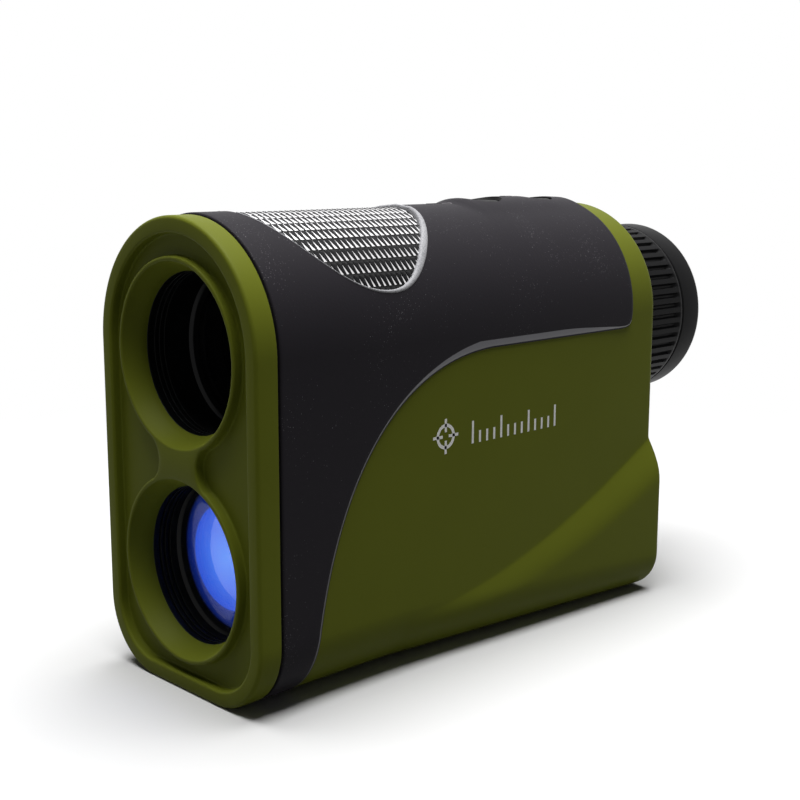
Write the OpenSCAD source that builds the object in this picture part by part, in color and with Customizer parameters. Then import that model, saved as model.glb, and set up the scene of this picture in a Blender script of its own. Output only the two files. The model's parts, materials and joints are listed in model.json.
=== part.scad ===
// Handheld laser rangefinder with two stacked windows, a rubber grip cover and a turning eyepiece.
// X is the width, Y runs from the front face to the eyepiece, Z is up from the base.
// Sizes along Y are counted from the front face, and at() moves them so that Y = 0 is the middle.

/* [Casing] */
// Width across the front plate
body_w = 40; // [39:0.5:42]
// Height from the base to the crown of the casing
body_h = 74; // [73:0.5:77]
// Length from the front face to the rear face of the casing
body_len = 95; // [94:0.5:100]
// Radius of the two lower long edges
base_r = 11.5; // [10.5:0.5:12]
// Wall of the casing halves
shell_t = 2; // [1.8:0.1:2.2]
// Rounding of the rear edge
rear_round = 1.25; // [1:0.25:2.5]
// How far the bare casing lies inside the front plate's side
shell_step = 0.4; // [0.2:0.1:0.6]

/* [Flared heel] */
// How far each side of the heel flares out at the rear
flare = 3; // [1:0.5:4]
// Height of the flare's crease at the rear face
flare_top = 30; // [24:1:32]
// Height of the crease where it dies out in front
flare_low = 9; // [7:0.5:10]
// Distance from the front face at which the flare begins
flare_start = 30; // [20:1:50]
// Radius of the heel's lower edge at the rear
heel_r = 7.5; // [5:0.5:10]

/* [Front plate] */
// Thickness of the front plate's visible edge
bezel_t = 4; // [3.5:0.1:5]
// Width of the raised rim around the front plate
rim_w = 2.6; // [2:0.1:3]
// Depth of the sunken floor between the rim and the window rings
floor_d = 1.6; // [1:0.1:2.2]
// Radius of the window rings' outer edge
ring_r = 15; // [14.8:0.1:15.4]
// Radius at which each window's funnel starts
funnel_r = 14.2; // [13.5:0.1:14.4]
// Half width of the web that joins the two window rings
web_half = 4.9; // [3:0.1:6]
// Radius of the notches beside the web
notch_r = 4; // [3:0.5:5]
// Thickness of the gasket behind the front plate
gasket_t = 0.4; // [0.3:0.1:0.6]

/* [Windows] */
// Depth of the upper window's axis below the crown
objective_drop = 21; // [20.5:0.1:21.5]
// Height of the lower window's axis
receiver_z = 19.6; // [19:0.1:20]
// Radius of the bore in front of each lens
well_r = 12.6; // [12.4:0.1:12.8]
// Wall of the lens barrels
barrel_t = 1.4; // [1.2:0.1:1.5]
// Depth at which the upper lens retainer starts
objective_y = 11.5; // [10:0.5:13]
// Depth at which the lower lens retainer starts
receiver_y = 8; // [7:0.5:10]
// Inner radius of the lens retainers
retainer_r = 12; // [11.4:0.1:12.1]

/* [Grip cover] */
// Thickness of the rubber cover
grip_t = 1.2; // [1:0.1:1.5]
// How far the cover stands out over the front plate's side
grip_proud = 0.1; // [0:0.05:0.2]
// Distance from the front face to the cover's lower edge at the base
grip_foot_y = 10.6; // [9:0.2:14]
// Depth of the cover's level edge along the side, below the crown
grip_edge_drop = 22.5; // [20:0.5:26]
// Distance from the front face at which the cover's edge gets level
grip_level_y = 50; // [44:1:60]
// Depth of the bare band at the rear, measured at the crown
rear_band = 5; // [4:0.5:6]
// Radius of the cover's lower rear corner
grip_corner_r = 4; // [2:0.5:6]

/* [Finger pad] */
// Distance from the front face to the pad's front tip
pad_front_y = 10.5; // [9:0.5:12]
// Distance from the front face to the pad's rear end
pad_rear_y = 47; // [44:0.5:50]
// Depth of the pad's lowest point on each side, below the crown
pad_drop = 12; // [8:0.5:15]
// Width of the bright rim behind the pad
pad_rim_w = 1.7; // [1:0.1:2.2]
// How far the bright rim stands out over the cover
pad_rim_proud = 0.2; // [0.1:0.05:0.3]

/* [Buttons] */
// Height of the raised panel around the buttons
panel_h = 1.2; // [0.9:0.1:1.5]
// Distance from the casing's rear face to the power button
power_back = 28.5; // [27.5:0.5:29.5]
// Distance between the two buttons
button_pitch = 15; // [14:0.5:16]
// Radius of the power button
power_r = 4; // [3.5:0.1:4.4]
// Radius of the mode button
mode_r = 3.6; // [3.2:0.1:4]
// Depth of the button tops under the panel
button_sink = 0.7; // [0.5:0.1:1]
// Travel of the buttons
press = 0.8; // [0.4:0.1:0.9]

/* [Eyepiece] */
// Length of the eyepiece behind the casing
eyepiece_reach = 19.5; // [19.5:0.5:23]
// Depth of the eyepiece's axis below the upper window's axis
eyepiece_drop = 1; // [0.5:0.1:1.5]
// Outer radius of the ribbed ring and the eyecup
eyepiece_r = 16.8; // [16.4:0.1:17.2]
// Number of grip ribs around the ring
rib_count = 54; // [36:2:60]
// Depth of the grooves between the ribs
rib_depth = 0.7; // [0.4:0.1:0.8]
// Length of the smooth eyecup
eyecup_len = 6.3; // [5.5:0.1:7]
// Radius of the eye lens opening
eye_r = 9.5; // [8:0.5:10]
// Travel of the eyepiece cell to each side
focus_travel = 1.5; // [0.5:0.1:1.5]

/* [Battery] */
// Radius of the battery
cell_r = 7.8; // [7.6:0.1:8]
// Length of the battery with its nub
cell_len = 27; // [26:0.5:28]
// Height of the battery's axis
cell_z = 14.5; // [14:0.1:15]
// Width of the battery door
door_w = 22; // [20:0.5:23]
// Thickness of the battery door
door_t = 1.8; // [1.7:0.1:2]

/* [Fasteners] */
// Radius of the casing screws
screw_r = 1; // [0.9:0.05:1.1]
// Radius of the lanyard bar
lanyard_r = 0.8; // [0.6:0.1:1]

/* [Hidden] */
$fn = 64;

// Clearances
lay = 0.05;      // pieces that lie against each other
fit = 0.1;       // pieces that slip into each other
run = 0.05;      // turning and sliding fits
part_gap = 0.25; // door and buttons in their openings
slice = 0.01;    // thin slices that a hull joins
past = 1;        // how far a cut runs past a face

// Casing
front_y = -(body_len + eyepiece_reach) / 2;
half_w = body_w / 2;
crown_z = body_h - half_w;
objective_z = body_h - objective_drop;
eyepiece_z = objective_z - eyepiece_drop;
between_z = (objective_z + receiver_z) / 2;
grip_edge_z = body_h - grip_edge_drop;
pad_low_z = body_h - pad_drop;
power_y = body_len - power_back;
case_y = bezel_t + gasket_t;
wall_y = body_len - shell_t;
seat_in = grip_t - grip_proud;
cavity_in = shell_step + shell_t;
cavity_r = half_w - cavity_in;
gasket_in = 0.6;     // gasket's edge inside the front plate's side
skirt_t = 1.6;
skirt_end = bezel_t + 4;

// Lens barrels
barrel_r = well_r + barrel_t;
funnel_end = bezel_t - 0.4;
barrel_step = 1.2;   // shoulder behind each lens
collar_t = 1.3;      // front plate's collar around each barrel
groove_y = 4.6;      // first thread groove in front of a lens
groove_pitch = 0.9;
groove_w = 0.4;
groove_depth = 0.3;
retainer_t = 1.5;
lens_r = well_r - fit;
crown_edge = 2.4;
crown_sag = 1.9;
flint_t = 1.6;
crown_y = objective_y + retainer_t + lay - cap(lens_r, crown_sag, retainer_r);
flint_y = crown_y + crown_sag + crown_edge + lay;
shoulder_y = flint_y + crown_sag + flint_t + lay;
receiver_edge = 2.5;
receiver_sag = 2.6;
receiver_lens_y = receiver_y + retainer_t + lay - cap(lens_r, receiver_sag, retainer_r);
receiver_shoulder_y = receiver_lens_y + receiver_sag + receiver_edge + lay;
rib_t = 1.5;
rib_y = 17.5;

// Prism block
prism_a = 8;      // half the clear height of the prisms
prism_reach = 11.5; // half height of the prism pair
prism_len = prism_a + prism_reach;
prism_half_w = 10;
prism_wall = 1.6;
prism_air = 0.6;
prism_y = 48;
block_y = prism_y - prism_wall;
block_end = prism_y + prism_len + prism_air + 1.2;
block_half_h = prism_reach + prism_wall;
block_r = cavity_r - 0.3;
clip_t = 0.6;

// Laser and detector
laser_y = prism_y + 12;
laser_r = 3;
laser_wall = 1.1;
laser_top_z = objective_z - block_half_h;
laser_len = 8;
diode_can_r = laser_r - 0.9;
diode_can = 3.4;
diode_leg = 3;
diode_leg_x = 1.2;
detector_r = 4.6;
can_r = detector_r - 0.6;  // detector's can in front of its flange
can_flange = 1;
neck_t = 1.5;              // receiver barrel's wall around the detector
cone_y = max(receiver_shoulder_y + 3, rib_y + rib_t + 0.5);
cone_end = 40;
detector_y = 41.5;
detector_len = 4.5;
detector_board_y = detector_y + detector_len;
board_t = 1.2;

// Eyepiece
socket_r = 14;
socket_bore = 12;
flange_r = 16.2;
flange_t = 2;
socket_y = body_len - 10;
socket_end = body_len + 6.6;
ring_y = body_len + 0.4;
cup_y = body_len + eyepiece_reach - eyecup_len;
thread_r = 13.2;
clip_y = body_len + 5;
clip_gap = 4;      // half the opening of the retaining clip
cell_y = body_len - 2.5;
cell_flange_y = socket_end + focus_travel + 0.4;
cell_end_y = cup_y - focus_travel - 0.2;
eye_lens_r = eye_r + 0.95;
eye_seat_y = cell_end_y - 5.5;
eye_sag = 1.4;
eye_rear_sag = 1;
eye_edge = 2;
eye_lens_y = eye_seat_y + lay - cap(eye_lens_r, eye_sag, eye_r);
eye_retainer_r = eye_r - 0.4;
eye_retainer_y = eye_lens_y + eye_sag + eye_edge + eye_rear_sag + lay
    - cap(eye_lens_r, eye_rear_sag, eye_retainer_r);
field_seat_y = cell_y + 4;
field_sag = 0.6;
field_rear_sag = 1.2;
field_edge = 1.6;
field_lens_y = field_seat_y - lay - field_sag - field_edge - field_rear_sag
    + cap(eye_lens_r, field_rear_sag, eye_r);
display_y = block_end;
display_t = 1.6;
display_seat = 3;
display_wall = 3;
display_lip = 1.5;
cable_half = 4;
cable_t = 0.3;
cable_reach = 4.2;

// Buttons
panel_z = body_h + grip_proud + panel_h;
button_top = panel_z - button_sink;
seat_z = crown_z + half_w - seat_in - 1.5;
button_flange = 0.9;
flange_over = 1;
plunger_r = 1.2;
mode_y = power_y + button_pitch;
switch_h = 1.1;
button_base = seat_z - fit - button_flange;
button_board_z = button_base - press - fit - switch_h - 1;
switch_half = 2.8;
button_board_half = 9;
button_board_front = power_y - 7;
post_r = 1.2;
panel_r = 12;
dish_rise = 3.2;  // centre of the dish around a button over the panel
dish_over = 1.8;  // its radius over the button's

// Battery
hinge_y = body_len - door_t;
hinge_z = 5.4;
seal_r = cell_r + 1.6;
tab_z = cell_z + seal_r + 0.2;
tab_t = 0.9;
tab_half = 4;
door_top_z = tab_z + tab_t + 1.7;
pin_r = 0.8;
lug_w = 2.6;
seal_t = 0.6;
knuckle_gap = 0.35;
contact_r = 5;
contact_tip_r = 3;
ledge_y = hinge_y - seal_t - fit;
frame_y = ledge_y - 1.5;
contact_t = 1.4;
cell_end = hinge_y - contact_t - 0.3;
tray_wall = 1.5;
tray_y = cell_end - cell_len - 3 - tray_wall;
tray_half = cell_r + 0.35 + tray_wall;

// Main board on the left side
board_x = -(cavity_r - 1.2);
board_y = 9;
board_end = socket_y - 10;
board_low = base_r - 2.5;
board_high = crown_z + 4;
chip_y = board_end - 12;
chip_z = 26;
chip_w = 9;
chip_t = 1.2;
board_head_r = 1.5;
board_head_t = 1;
capacitor_r = 2.6;
capacitor_y = 31;
capacitor_len = 11;

// Board screws and casing screws: [y, z]
spot_y = 30;
spot_end = 8;
spot_high = 14;
spot_low = 3;
board_spots = [
    for (y = [spot_y, board_end - spot_end], z = [board_high - spot_high, board_low + spot_low])
        [y, z]
];
boss_r = 2.4;
screw_spots = [
    [27, between_z], [laser_y - 7.5, laser_top_z - 5.9], [tray_y - 6.5, 7.5], [body_len - 7.5, 31]
];
head_r = 1.9;
head_t = 1.2;
screw_tip = 8;
head_x = -(half_w - shell_step - 1.3);
board_screw_r = 0.8;
standoff_r = 2;

// Lanyard pocket on the left side
lanyard_y = body_len - 14.5;
lanyard_z = 34;
lanyard_half = 3.4;
bar_seat = 1.4;
pocket_x = -(half_w - shell_step - 3.8);
lanyard_x = -(half_w - shell_step - 1.2);

// ---- shared shapes -------------------------------------------------------------

// Casing section in X and Z, drawn inward by side_in, with its base at base_in
module outline(side_in, base_in = 0) {
    top_r = half_w - side_in;
    low_r = base_r - side_in;
    low_x = half_w - base_r;
    translate([0, crown_z]) circle(r = top_r);
    translate([-top_r, base_in + low_r]) square([2 * top_r, crown_z - base_in - low_r]);
    for (side = [-1, 1]) translate([side * low_x, base_in + low_r]) circle(r = low_r);
    translate([-low_x, base_in]) square([2 * low_x, low_r + past]);
}

// Moves a shape to a point whose y is counted from the front face
module at(p) {
    translate([p[0], p[1] + front_y, p[2]]) children();
}

// Carries a shape in X and Z from y0 to y1
module along_y(y0, y1) {
    at([0, y1, 0]) rotate([90, 0, 0]) linear_extrude(y1 - y0) children();
}

// Carries a shape in Y and Z from x0 to x1
module across_x(x0, x1) {
    at([x0, 0, 0]) rotate([90, 0, 90]) linear_extrude(x1 - x0) children();
}

// Round bar along Y
module rod_y(r, y0, y1, z, x = 0, r_end = -1) {
    at([x, y0, z]) rotate([-90, 0, 0])
        cylinder(r1 = r, r2 = r_end < 0 ? r : r_end, h = y1 - y0);
}

// Round bar along X
module rod_x(r, x0, x1, y, z) {
    at([x0, y, z]) rotate([0, 90, 0]) cylinder(r = r, h = x1 - x0);
}

// Tube along Y
module tube_y(r_out, r_in, y0, y1, z) {
    difference() {
        rod_y(r_out, y0, y1, z);
        rod_y(r_in, y0 - past, y1 + past, z);
    }
}

// Box from its low corner to its high corner
module block(low, high) {
    at(low) cube(high - low);
}

// Depth at radius x of a round cap that is sag deep at radius r
function cap_r(r, sag) = (r * r + sag * sag) / (2 * sag);
function cap(r, sag, x) = cap_r(r, sag) - sqrt(pow(cap_r(r, sag), 2) - x * x);
lens_steps = 12;

// Turned piece along Y whose profile points are [radius, y]
module turned(points, y, z) {
    at([0, y, z]) rotate([-90, 0, 0]) rotate_extrude() polygon(points);
}

// Lens along Y: bulges by sag_front and sag_rear around an edge of the given thickness
module lens(r, edge, sag_front, sag_rear, y, z) {
    length = sag_front + edge + sag_rear;
    front = [for (i = [0:lens_steps]) let (x = r * i / lens_steps) [x, cap(r, sag_front, x)]];
    rear = [for (i = [lens_steps:-1:0]) let (x = r * i / lens_steps)
        [x, length - (sag_rear > 0 ? cap(r, sag_rear, x) : 0)]];
    turned(sag_rear > 0 ? concat(front, rear) : concat(front, [[r, length], [0, length]]), y, z);
}

// Point of a cubic curve at t
function cubic(p, t) =
    pow(1 - t, 3) * p[0] + 3 * pow(1 - t, 2) * t * p[1]
    + 3 * (1 - t) * t * t * p[2] + t * t * t * p[3];
function curve(p, n) = [for (i = [0:n]) cubic(p, i / n)];

// Side view of the grip cover: a sweeping lower edge, then level, then up along the rear band
grip_sweep = [
    [grip_foot_y, 0], [grip_foot_y + 1.6, grip_edge_z / 2],
    [grip_foot_y + 11.4, grip_edge_z - 0.5], [grip_level_y, grip_edge_z]
];
grip_rear_y = body_len - rear_band;
grip_turn = [
    [grip_rear_y - 2.4 - grip_corner_r, grip_edge_z], [grip_rear_y - 2.4, grip_edge_z],
    [grip_rear_y - 2.4, grip_edge_z + 0.5], [grip_rear_y - 2.2, grip_edge_z + grip_corner_r]
];
module grip_side() {
    polygon(concat(
        [[case_y, body_h + 5], [case_y, -past], [grip_foot_y, -past]],
        curve(grip_sweep, 18),
        curve(grip_turn, 6),
        [[grip_rear_y - 1.5, crown_z + 12], [grip_rear_y, body_h + 5]]
    ));
}

// Side view of the finger pad and its rim
pad_mid_y = (pad_front_y + pad_rear_y) / 2 - 0.4;
pad_top_z = body_h + 0.2;
pad_fall = [
    [pad_front_y, pad_top_z], [pad_front_y + 2.2, pad_top_z - 3.8],
    [pad_mid_y - 9, pad_low_z], [pad_mid_y, pad_low_z]
];
pad_rise = [
    [pad_mid_y, pad_low_z], [pad_mid_y + 6.5, pad_low_z],
    [pad_rear_y - 9, pad_top_z - 6.2], [pad_rear_y, pad_top_z]
];
module pad_side() {
    polygon(concat(
        [[pad_front_y, pad_top_z + 2]], curve(pad_fall, 12), curve(pad_rise, 12),
        [[pad_rear_y, pad_top_z + 2]]
    ));
}

// Inset of the casing near its rear edge, for a rounding of rear_round
function rear_in(y) =
    y <= body_len - rear_round ? 0
    : rear_round - sqrt(max(0, pow(rear_round, 2) - pow(y - body_len + rear_round, 2)));
rear_steps = [0.6, 0.3, 0.1, 0];

// Heel: the casing's lower side, pushed out under a crease that climbs to the rear
function heel_u(y) = (y - flare_start) / (body_len - flare_start);
function crease_z(u) = flare_low + (flare_top - flare_low) * pow(u, 1.75);
function heel_push(u, drop) =
    flare * u * sin(90 * min(1, max(0, drop / (3 + 5 * u))));
heel_sink = 0.15;
function heel_x(y, z, u) =
    let (low_r = base_r - shell_step - (base_r - shell_step - heel_r) * u,
         side = half_w - shell_step - rear_in(y),
         round = z >= low_r ? 0 : low_r - sqrt(pow(low_r, 2) - pow(low_r - z, 2)))
    side - round - heel_sink + heel_push(u, crease_z(u) - z)
    + (z < crease_z(u) ? heel_sink * u : 0);
heel_levels = 12;
heel_stations = concat(
    [for (i = [0:9]) flare_start + (body_len - rear_round - flare_start) * i / 9],
    [for (k = rear_steps) body_len - rear_round * k]
);
function heel_ring(y, side) =
    let (u = heel_u(y), top = crease_z(u) + 0.3, inner = half_w - cavity_in - 0.5)
    concat(
        [[side * (half_w - base_r), y, 0]],
        [for (j = [1:heel_levels]) let (z = top * pow(j / heel_levels, 2))
            [side * heel_x(y, z, u), y, z]],
        [[side * inner, y, top], [side * (half_w - base_r), y, top / 2]]
    );
heel_n = heel_levels + 3;
module heel(side) {
    count = len(heel_stations);
    rings = [for (y = heel_stations) each heel_ring(y, side)];
    walls = [for (i = [0:count - 2], j = [0:heel_n - 1])
        let (a = i * heel_n + j, b = i * heel_n + (j + 1) % heel_n)
        each [[a, b, b + heel_n], [a, b + heel_n, a + heel_n]]];
    front = [for (j = [1:heel_n - 2]) [0, j + 1, j]];
    base = (count - 1) * heel_n;
    back = [for (j = [1:heel_n - 2]) [base, base + j, base + j + 1]];
    faces = concat(walls, front, back);
    at([0, 0, 0]) polyhedron(points = rings, faces = side > 0 ? faces : [for (f = faces) [f[2], f[1], f[0]]]);
}

// ---- casing --------------------------------------------------------------------

// Window rings joined by a web with round notches, seen from the front
module ring_web() {
    mid = (objective_z + receiver_z) / 2;
    rise = (objective_z - receiver_z) / 2;
    notch_x = web_half + notch_r;
    touch_x = notch_x * ring_r / (ring_r + notch_r);
    touch_z = rise * notch_r / (ring_r + notch_r);
    for (z = [objective_z, receiver_z]) translate([0, z]) circle(r = ring_r);
    difference() {
        polygon([
            [-touch_x, mid + touch_z], [touch_x, mid + touch_z], [notch_x, mid],
            [touch_x, mid - touch_z], [-touch_x, mid - touch_z], [-notch_x, mid]
        ]);
        for (side = [-1, 1]) translate([side * notch_x, mid]) circle(r = notch_r);
    }
}

module front_bezel() {
    color("olivedrab") difference() {
        union() {
            hull() {
                along_y(0, slice) outline(1, 1);
                along_y(0.3, 0.3 + slice) outline(0.35, 0.35);
                along_y(1, bezel_t) outline(0);
            }
            difference() {
                along_y(bezel_t - slice, skirt_end) outline(cavity_in + fit, cavity_in + fit);
                along_y(bezel_t, skirt_end + past)
                    outline(cavity_in + fit + skirt_t, cavity_in + fit + skirt_t);
            }
            intersection() {
                along_y(bezel_t - slice, skirt_end) outline(cavity_in + fit, cavity_in + fit);
                for (z = [objective_z, receiver_z]) rod_y(barrel_r + run + collar_t, 0, skirt_end, z);
            }
        }
        difference() {
            along_y(-past, floor_d) outline(rim_w, rim_w);
            along_y(-2 * past, floor_d + past) ring_web();
        }
        for (z = [objective_z, receiver_z]) {
            rod_y(funnel_r, -past, 0, z);
            rod_y(funnel_r, -slice, funnel_end + slice, z, 0, well_r);
            rod_y(barrel_r + run, funnel_end, skirt_end + past, z);
        }
    }
}

module front_gasket() {
    color("black") difference() {
        along_y(bezel_t, case_y) outline(gasket_in, gasket_in);
        along_y(bezel_t - past, case_y + past) outline(cavity_in, cavity_in);
    }
}

// Outer body of the casing with its flared heel
module case_body() {
    hull() {
        along_y(case_y, body_len - rear_round) outline(shell_step);
        for (k = rear_steps) {
            y = body_len - rear_round * k;
            along_y(y - lay, y) outline(shell_step + rear_in(y), rear_in(y));
        }
    }
    for (side = [-1, 1]) heel(side);
}

// Door opening, swept free for the knuckle and the swinging plate
module door_outline(grow) {
    top_r = 3;
    half = door_w / 2 + grow;
    top = door_top_z + grow;
    translate([-half, hinge_z]) square([2 * half, top - hinge_z - top_r - grow]);
    translate([-half + top_r + grow, hinge_z]) square([2 * (half - top_r - grow), top - hinge_z]);
    for (side = [-1, 1])
        translate([side * (half - top_r - grow), top - top_r - grow]) circle(r = top_r + grow);
}

module door_cut() {
    half = door_w / 2 + part_gap;
    along_y(ledge_y, body_len + past) door_outline(part_gap);
    rod_x(door_t + knuckle_gap, -half, half, hinge_y, hinge_z);
    block([-half, hinge_y, hinge_z - door_t - knuckle_gap], [half, body_len + past, hinge_z + slice]);
    rod_x(4, -5, 5, body_len + 2.6, door_top_z + 0.6);
    block([-tab_half - 0.4, frame_y - past, tab_z - 0.15],
          [tab_half + 0.4, ledge_y + past, tab_z + tab_t + 0.4]);
}

module case_halves() {
    difference() {
        union() {
            difference() {
                case_body();
                // seat of the grip cover
                intersection() {
                    across_x(-half_w - past, half_w + past) grip_side();
                    difference() {
                        along_y(case_y - past, body_len + past) outline(-flare - 5, -5);
                        along_y(case_y - 2 * past, body_len + 2 * past) outline(seat_in, grip_t);
                    }
                }
                along_y(case_y - past, wall_y) outline(cavity_in, cavity_in);
            }
            intersection() {
                along_y(case_y, wall_y + slice) outline(cavity_in - slice, cavity_in - slice);
                union() {
                    // rib behind the front plate, and rib around the eyepiece socket
                    difference() {
                        block([-half_w, rib_y, 0], [half_w, rib_y + rib_t, body_h]);
                        for (z = [objective_z, receiver_z])
                            rod_y(barrel_r + run, rib_y - past, rib_y + rib_t + past, z);
                        block([board_x - board_t / 2 - fit, board_y, board_low - fit],
                              [board_x + board_t / 2 + fit, board_end, board_high + fit]);
                    }
                    difference() {
                        block([-half_w, wall_y - flange_t - rib_t, eyepiece_z - flange_r - 0.8],
                              [half_w, wall_y - flange_t - lay, body_h]);
                        rod_y(socket_r + run, socket_y - past, wall_y, eyepiece_z);
                    }
                    // frame around the battery door
                    block([-door_w / 2 - 3, frame_y, 0],
                          [door_w / 2 + 3, wall_y + slice, door_top_z + 2]);
                    // screw bosses, standoffs of the main board and lanyard pocket
                    for (spot = screw_spots) rod_x(boss_r, -half_w, half_w, spot[0], spot[1]);
                    for (spot = board_spots)
                        rod_x(standoff_r, -half_w, board_x - board_t / 2 - lay, spot[0], spot[1]);
                    block([-half_w, lanyard_y - lanyard_half - 1.4, lanyard_z - lanyard_half - 2],
                          [pocket_x + 1.4, lanyard_y + lanyard_half + 1.4,
                           lanyard_z + lanyard_half + 2]);
                }
            }
        }
        door_cut();
        rod_y(cell_r + 0.6, frame_y - past, ledge_y + past, cell_z);
        rod_x(pin_r + 0.02, -door_w / 2 - lug_w, door_w / 2 + lug_w, hinge_y, hinge_z);
        rod_y(socket_r + run, wall_y - past, body_len + past, eyepiece_z);
        // openings of the two buttons
        button_hole(power_y, power_r);
        button_hole(mode_y, mode_r);
        for (spot = screw_spots) {
            rod_x(screw_r + 0.1, head_x, 0, spot[0], spot[1]);
            rod_x(screw_r + 0.02, -lay, screw_tip + 1, spot[0], spot[1]);
            rod_x(head_r + 0.15, -half_w - flare - past, head_x, spot[0], spot[1]);
        }
        for (spot = board_spots)
            rod_x(board_screw_r + 0.02, -cavity_r - 0.85, -cavity_r + 2, spot[0], spot[1]);
        // lanyard pocket and the bore of its bar
        block([-half_w - past, lanyard_y - lanyard_half, lanyard_z - lanyard_half],
              [pocket_x, lanyard_y + lanyard_half, lanyard_z + lanyard_half]);
        at([lanyard_x, lanyard_y, lanyard_z - lanyard_half - bar_seat - fit])
            cylinder(r = lanyard_r + 0.02, h = 2 * (lanyard_half + bar_seat + fit));
    }
}

// Flat seat and hole of a button in the casing
module button_hole(y, r) {
    at([0, y, seat_z - 20]) cylinder(r = r + flange_over + part_gap, h = 20);
    at([0, y, seat_z - past]) cylinder(r = r + part_gap, h = 10);
}

module left_shell() {
    color("olivedrab") intersection() {
        case_halves();
        block([-half_w - flare - 1, 0, -1], [-lay / 2, body_len + 1, body_h + 1]);
    }
}

module right_shell() {
    color("olivedrab") intersection() {
        case_halves();
        block([lay / 2, 0, -1], [half_w + flare + 1, body_len + 1, body_h + 1]);
    }
}

module shell_screws() {
    color("silver") for (spot = screw_spots) difference() {
        union() {
            rod_x(head_r, head_x - head_t, head_x, spot[0], spot[1]);
            rod_x(screw_r, head_x - slice, screw_tip, spot[0], spot[1]);
        }
        for (turn = [0, 90]) at([head_x - head_t, spot[0], spot[1]]) rotate([turn, 0, 0])
            cube([1, 2.4, 0.5], center = true);
    }
}

// ---- grip cover ----------------------------------------------------------------

// Raised panel around the buttons, with a ramp at each end
module button_panel() {
    low_z = panel_z - panel_r;
    hull() {
        along_y(power_y - 7.6, power_y - 7.5) translate([0, low_z - panel_h]) circle(r = panel_r);
        along_y(power_y - 5.7, power_y - 5.6)
            translate([0, low_z - 0.15 * panel_h]) circle(r = panel_r);
        along_y(power_y, mode_y) translate([0, low_z]) circle(r = panel_r);
        along_y(grip_rear_y - slice, grip_rear_y)
            translate([0, low_z - 0.5 * panel_h]) circle(r = panel_r);
    }
}

module grip_cover() {
    color("dimgray") difference() {
        intersection() {
            union() {
                difference() {
                    along_y(case_y, body_len) outline(-grip_proud, 0);
                    along_y(case_y - past, body_len + past) outline(seat_in - lay, grip_t - lay);
                }
                difference() {
                    button_panel();
                    rod_y(half_w + grip_proud - 0.4, case_y, body_len + past, crown_z);
                }
            }
            across_x(-half_w - past, half_w + past) grip_side();
        }
        across_x(-half_w - past, half_w + past) pad_side();
        at([0, power_y, crown_z]) cylinder(r = power_r + part_gap, h = half_w + 5);
        at([0, mode_y, crown_z]) cylinder(r = mode_r + part_gap, h = half_w + 5);
        at([0, power_y, panel_z + dish_rise]) sphere(r = power_r + dish_over);
        at([0, mode_y, panel_z + dish_rise]) sphere(r = mode_r + dish_over);
    }
}

// Curved skin over the crown between two insets of the casing section
module crown_skin(out, in) {
    difference() {
        along_y(case_y, body_len) outline(out, 0);
        along_y(case_y - past, body_len + past) outline(in, 0);
    }
}

module finger_pad() {
    color("silver") intersection() {
        crown_skin(-grip_proud, seat_in - lay);
        across_x(-half_w, half_w) intersection() {
            pad_side();
            translate([-pad_rim_w, 0]) pad_side();
        }
    }
}

module pad_rim() {
    color("lightgray") intersection() {
        crown_skin(-grip_proud - pad_rim_proud, seat_in - lay);
        across_x(-half_w - past, half_w + past) difference() {
            pad_side();
            translate([-pad_rim_w, 0]) pad_side();
        }
    }
}

// ---- upper window --------------------------------------------------------------

// Three grooves cut in a barrel's bore, in front of its lens
module thread_grooves(z) {
    for (k = [0:2]) {
        y = groove_y + groove_pitch * k;
        tube_y(well_r + groove_depth, well_r - past, y, y + groove_w, z);
    }
}

module objective_barrel() {
    color("black") difference() {
        rod_y(barrel_r, funnel_end + lay, block_y - lay, objective_z);
        rod_y(well_r, 0, shoulder_y, objective_z);
        rod_y(well_r - barrel_step, 0, block_y + past, objective_z);
        thread_grooves(objective_z);
    }
}

module objective_retainer() {
    color("black") tube_y(well_r - fit / 2, retainer_r, objective_y, objective_y + retainer_t,
                          objective_z);
}

module objective_crown() {
    color("lightblue") lens(lens_r, crown_edge, crown_sag, crown_sag, crown_y, objective_z);
}

// Second half of the objective, hollow in front to take the first one
module objective_flint() {
    hollow = [for (i = [0:lens_steps]) let (x = lens_r * i / lens_steps)
        [x, crown_sag - cap(lens_r, crown_sag, x)]];
    length = crown_sag + flint_t;
    color("lightblue") turned(concat(hollow, [[lens_r, length], [0, length]]), flint_y, objective_z);
}

// ---- lower window --------------------------------------------------------------

module receiver_barrel() {
    color("black") difference() {
        union() {
            rod_y(barrel_r, funnel_end + lay, cone_y, receiver_z);
            rod_y(barrel_r, cone_y - slice, cone_end, receiver_z, 0, detector_r + neck_t);
            rod_y(detector_r + neck_t, cone_end - slice, detector_board_y - lay, receiver_z);
        }
        rod_y(well_r, 0, receiver_shoulder_y, receiver_z);
        rod_y(well_r - barrel_step, receiver_shoulder_y - past, cone_y, receiver_z);
        rod_y(well_r - barrel_step, cone_y - slice, cone_end, receiver_z, 0, can_r);
        rod_y(can_r, cone_end - slice, detector_y + slice, receiver_z);
        rod_y(detector_r + lay, detector_y, detector_board_y, receiver_z);
        thread_grooves(receiver_z);
    }
}

module receiver_retainer() {
    color("black") tube_y(well_r - fit / 2, retainer_r, receiver_y, receiver_y + retainer_t,
                          receiver_z);
}

module receiver_lens() {
    color("royalblue") lens(lens_r, receiver_edge, receiver_sag, 0, receiver_lens_y, receiver_z);
}

module detector() {
    color("gold") {
        rod_y(detector_r, detector_y + detector_len - can_flange, detector_board_y, receiver_z);
        rod_y(can_r, detector_y + lay, detector_y + detector_len - can_flange + slice, receiver_z);
    }
}

module detector_board() {
    color("darkgreen") intersection() {
        along_y(detector_board_y, detector_board_y + board_t)
            outline(cavity_in + fit, cavity_in + fit);
        block([board_x + board_t, 0, 0], [half_w, body_len, receiver_z + 11]);
    }
}

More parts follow.
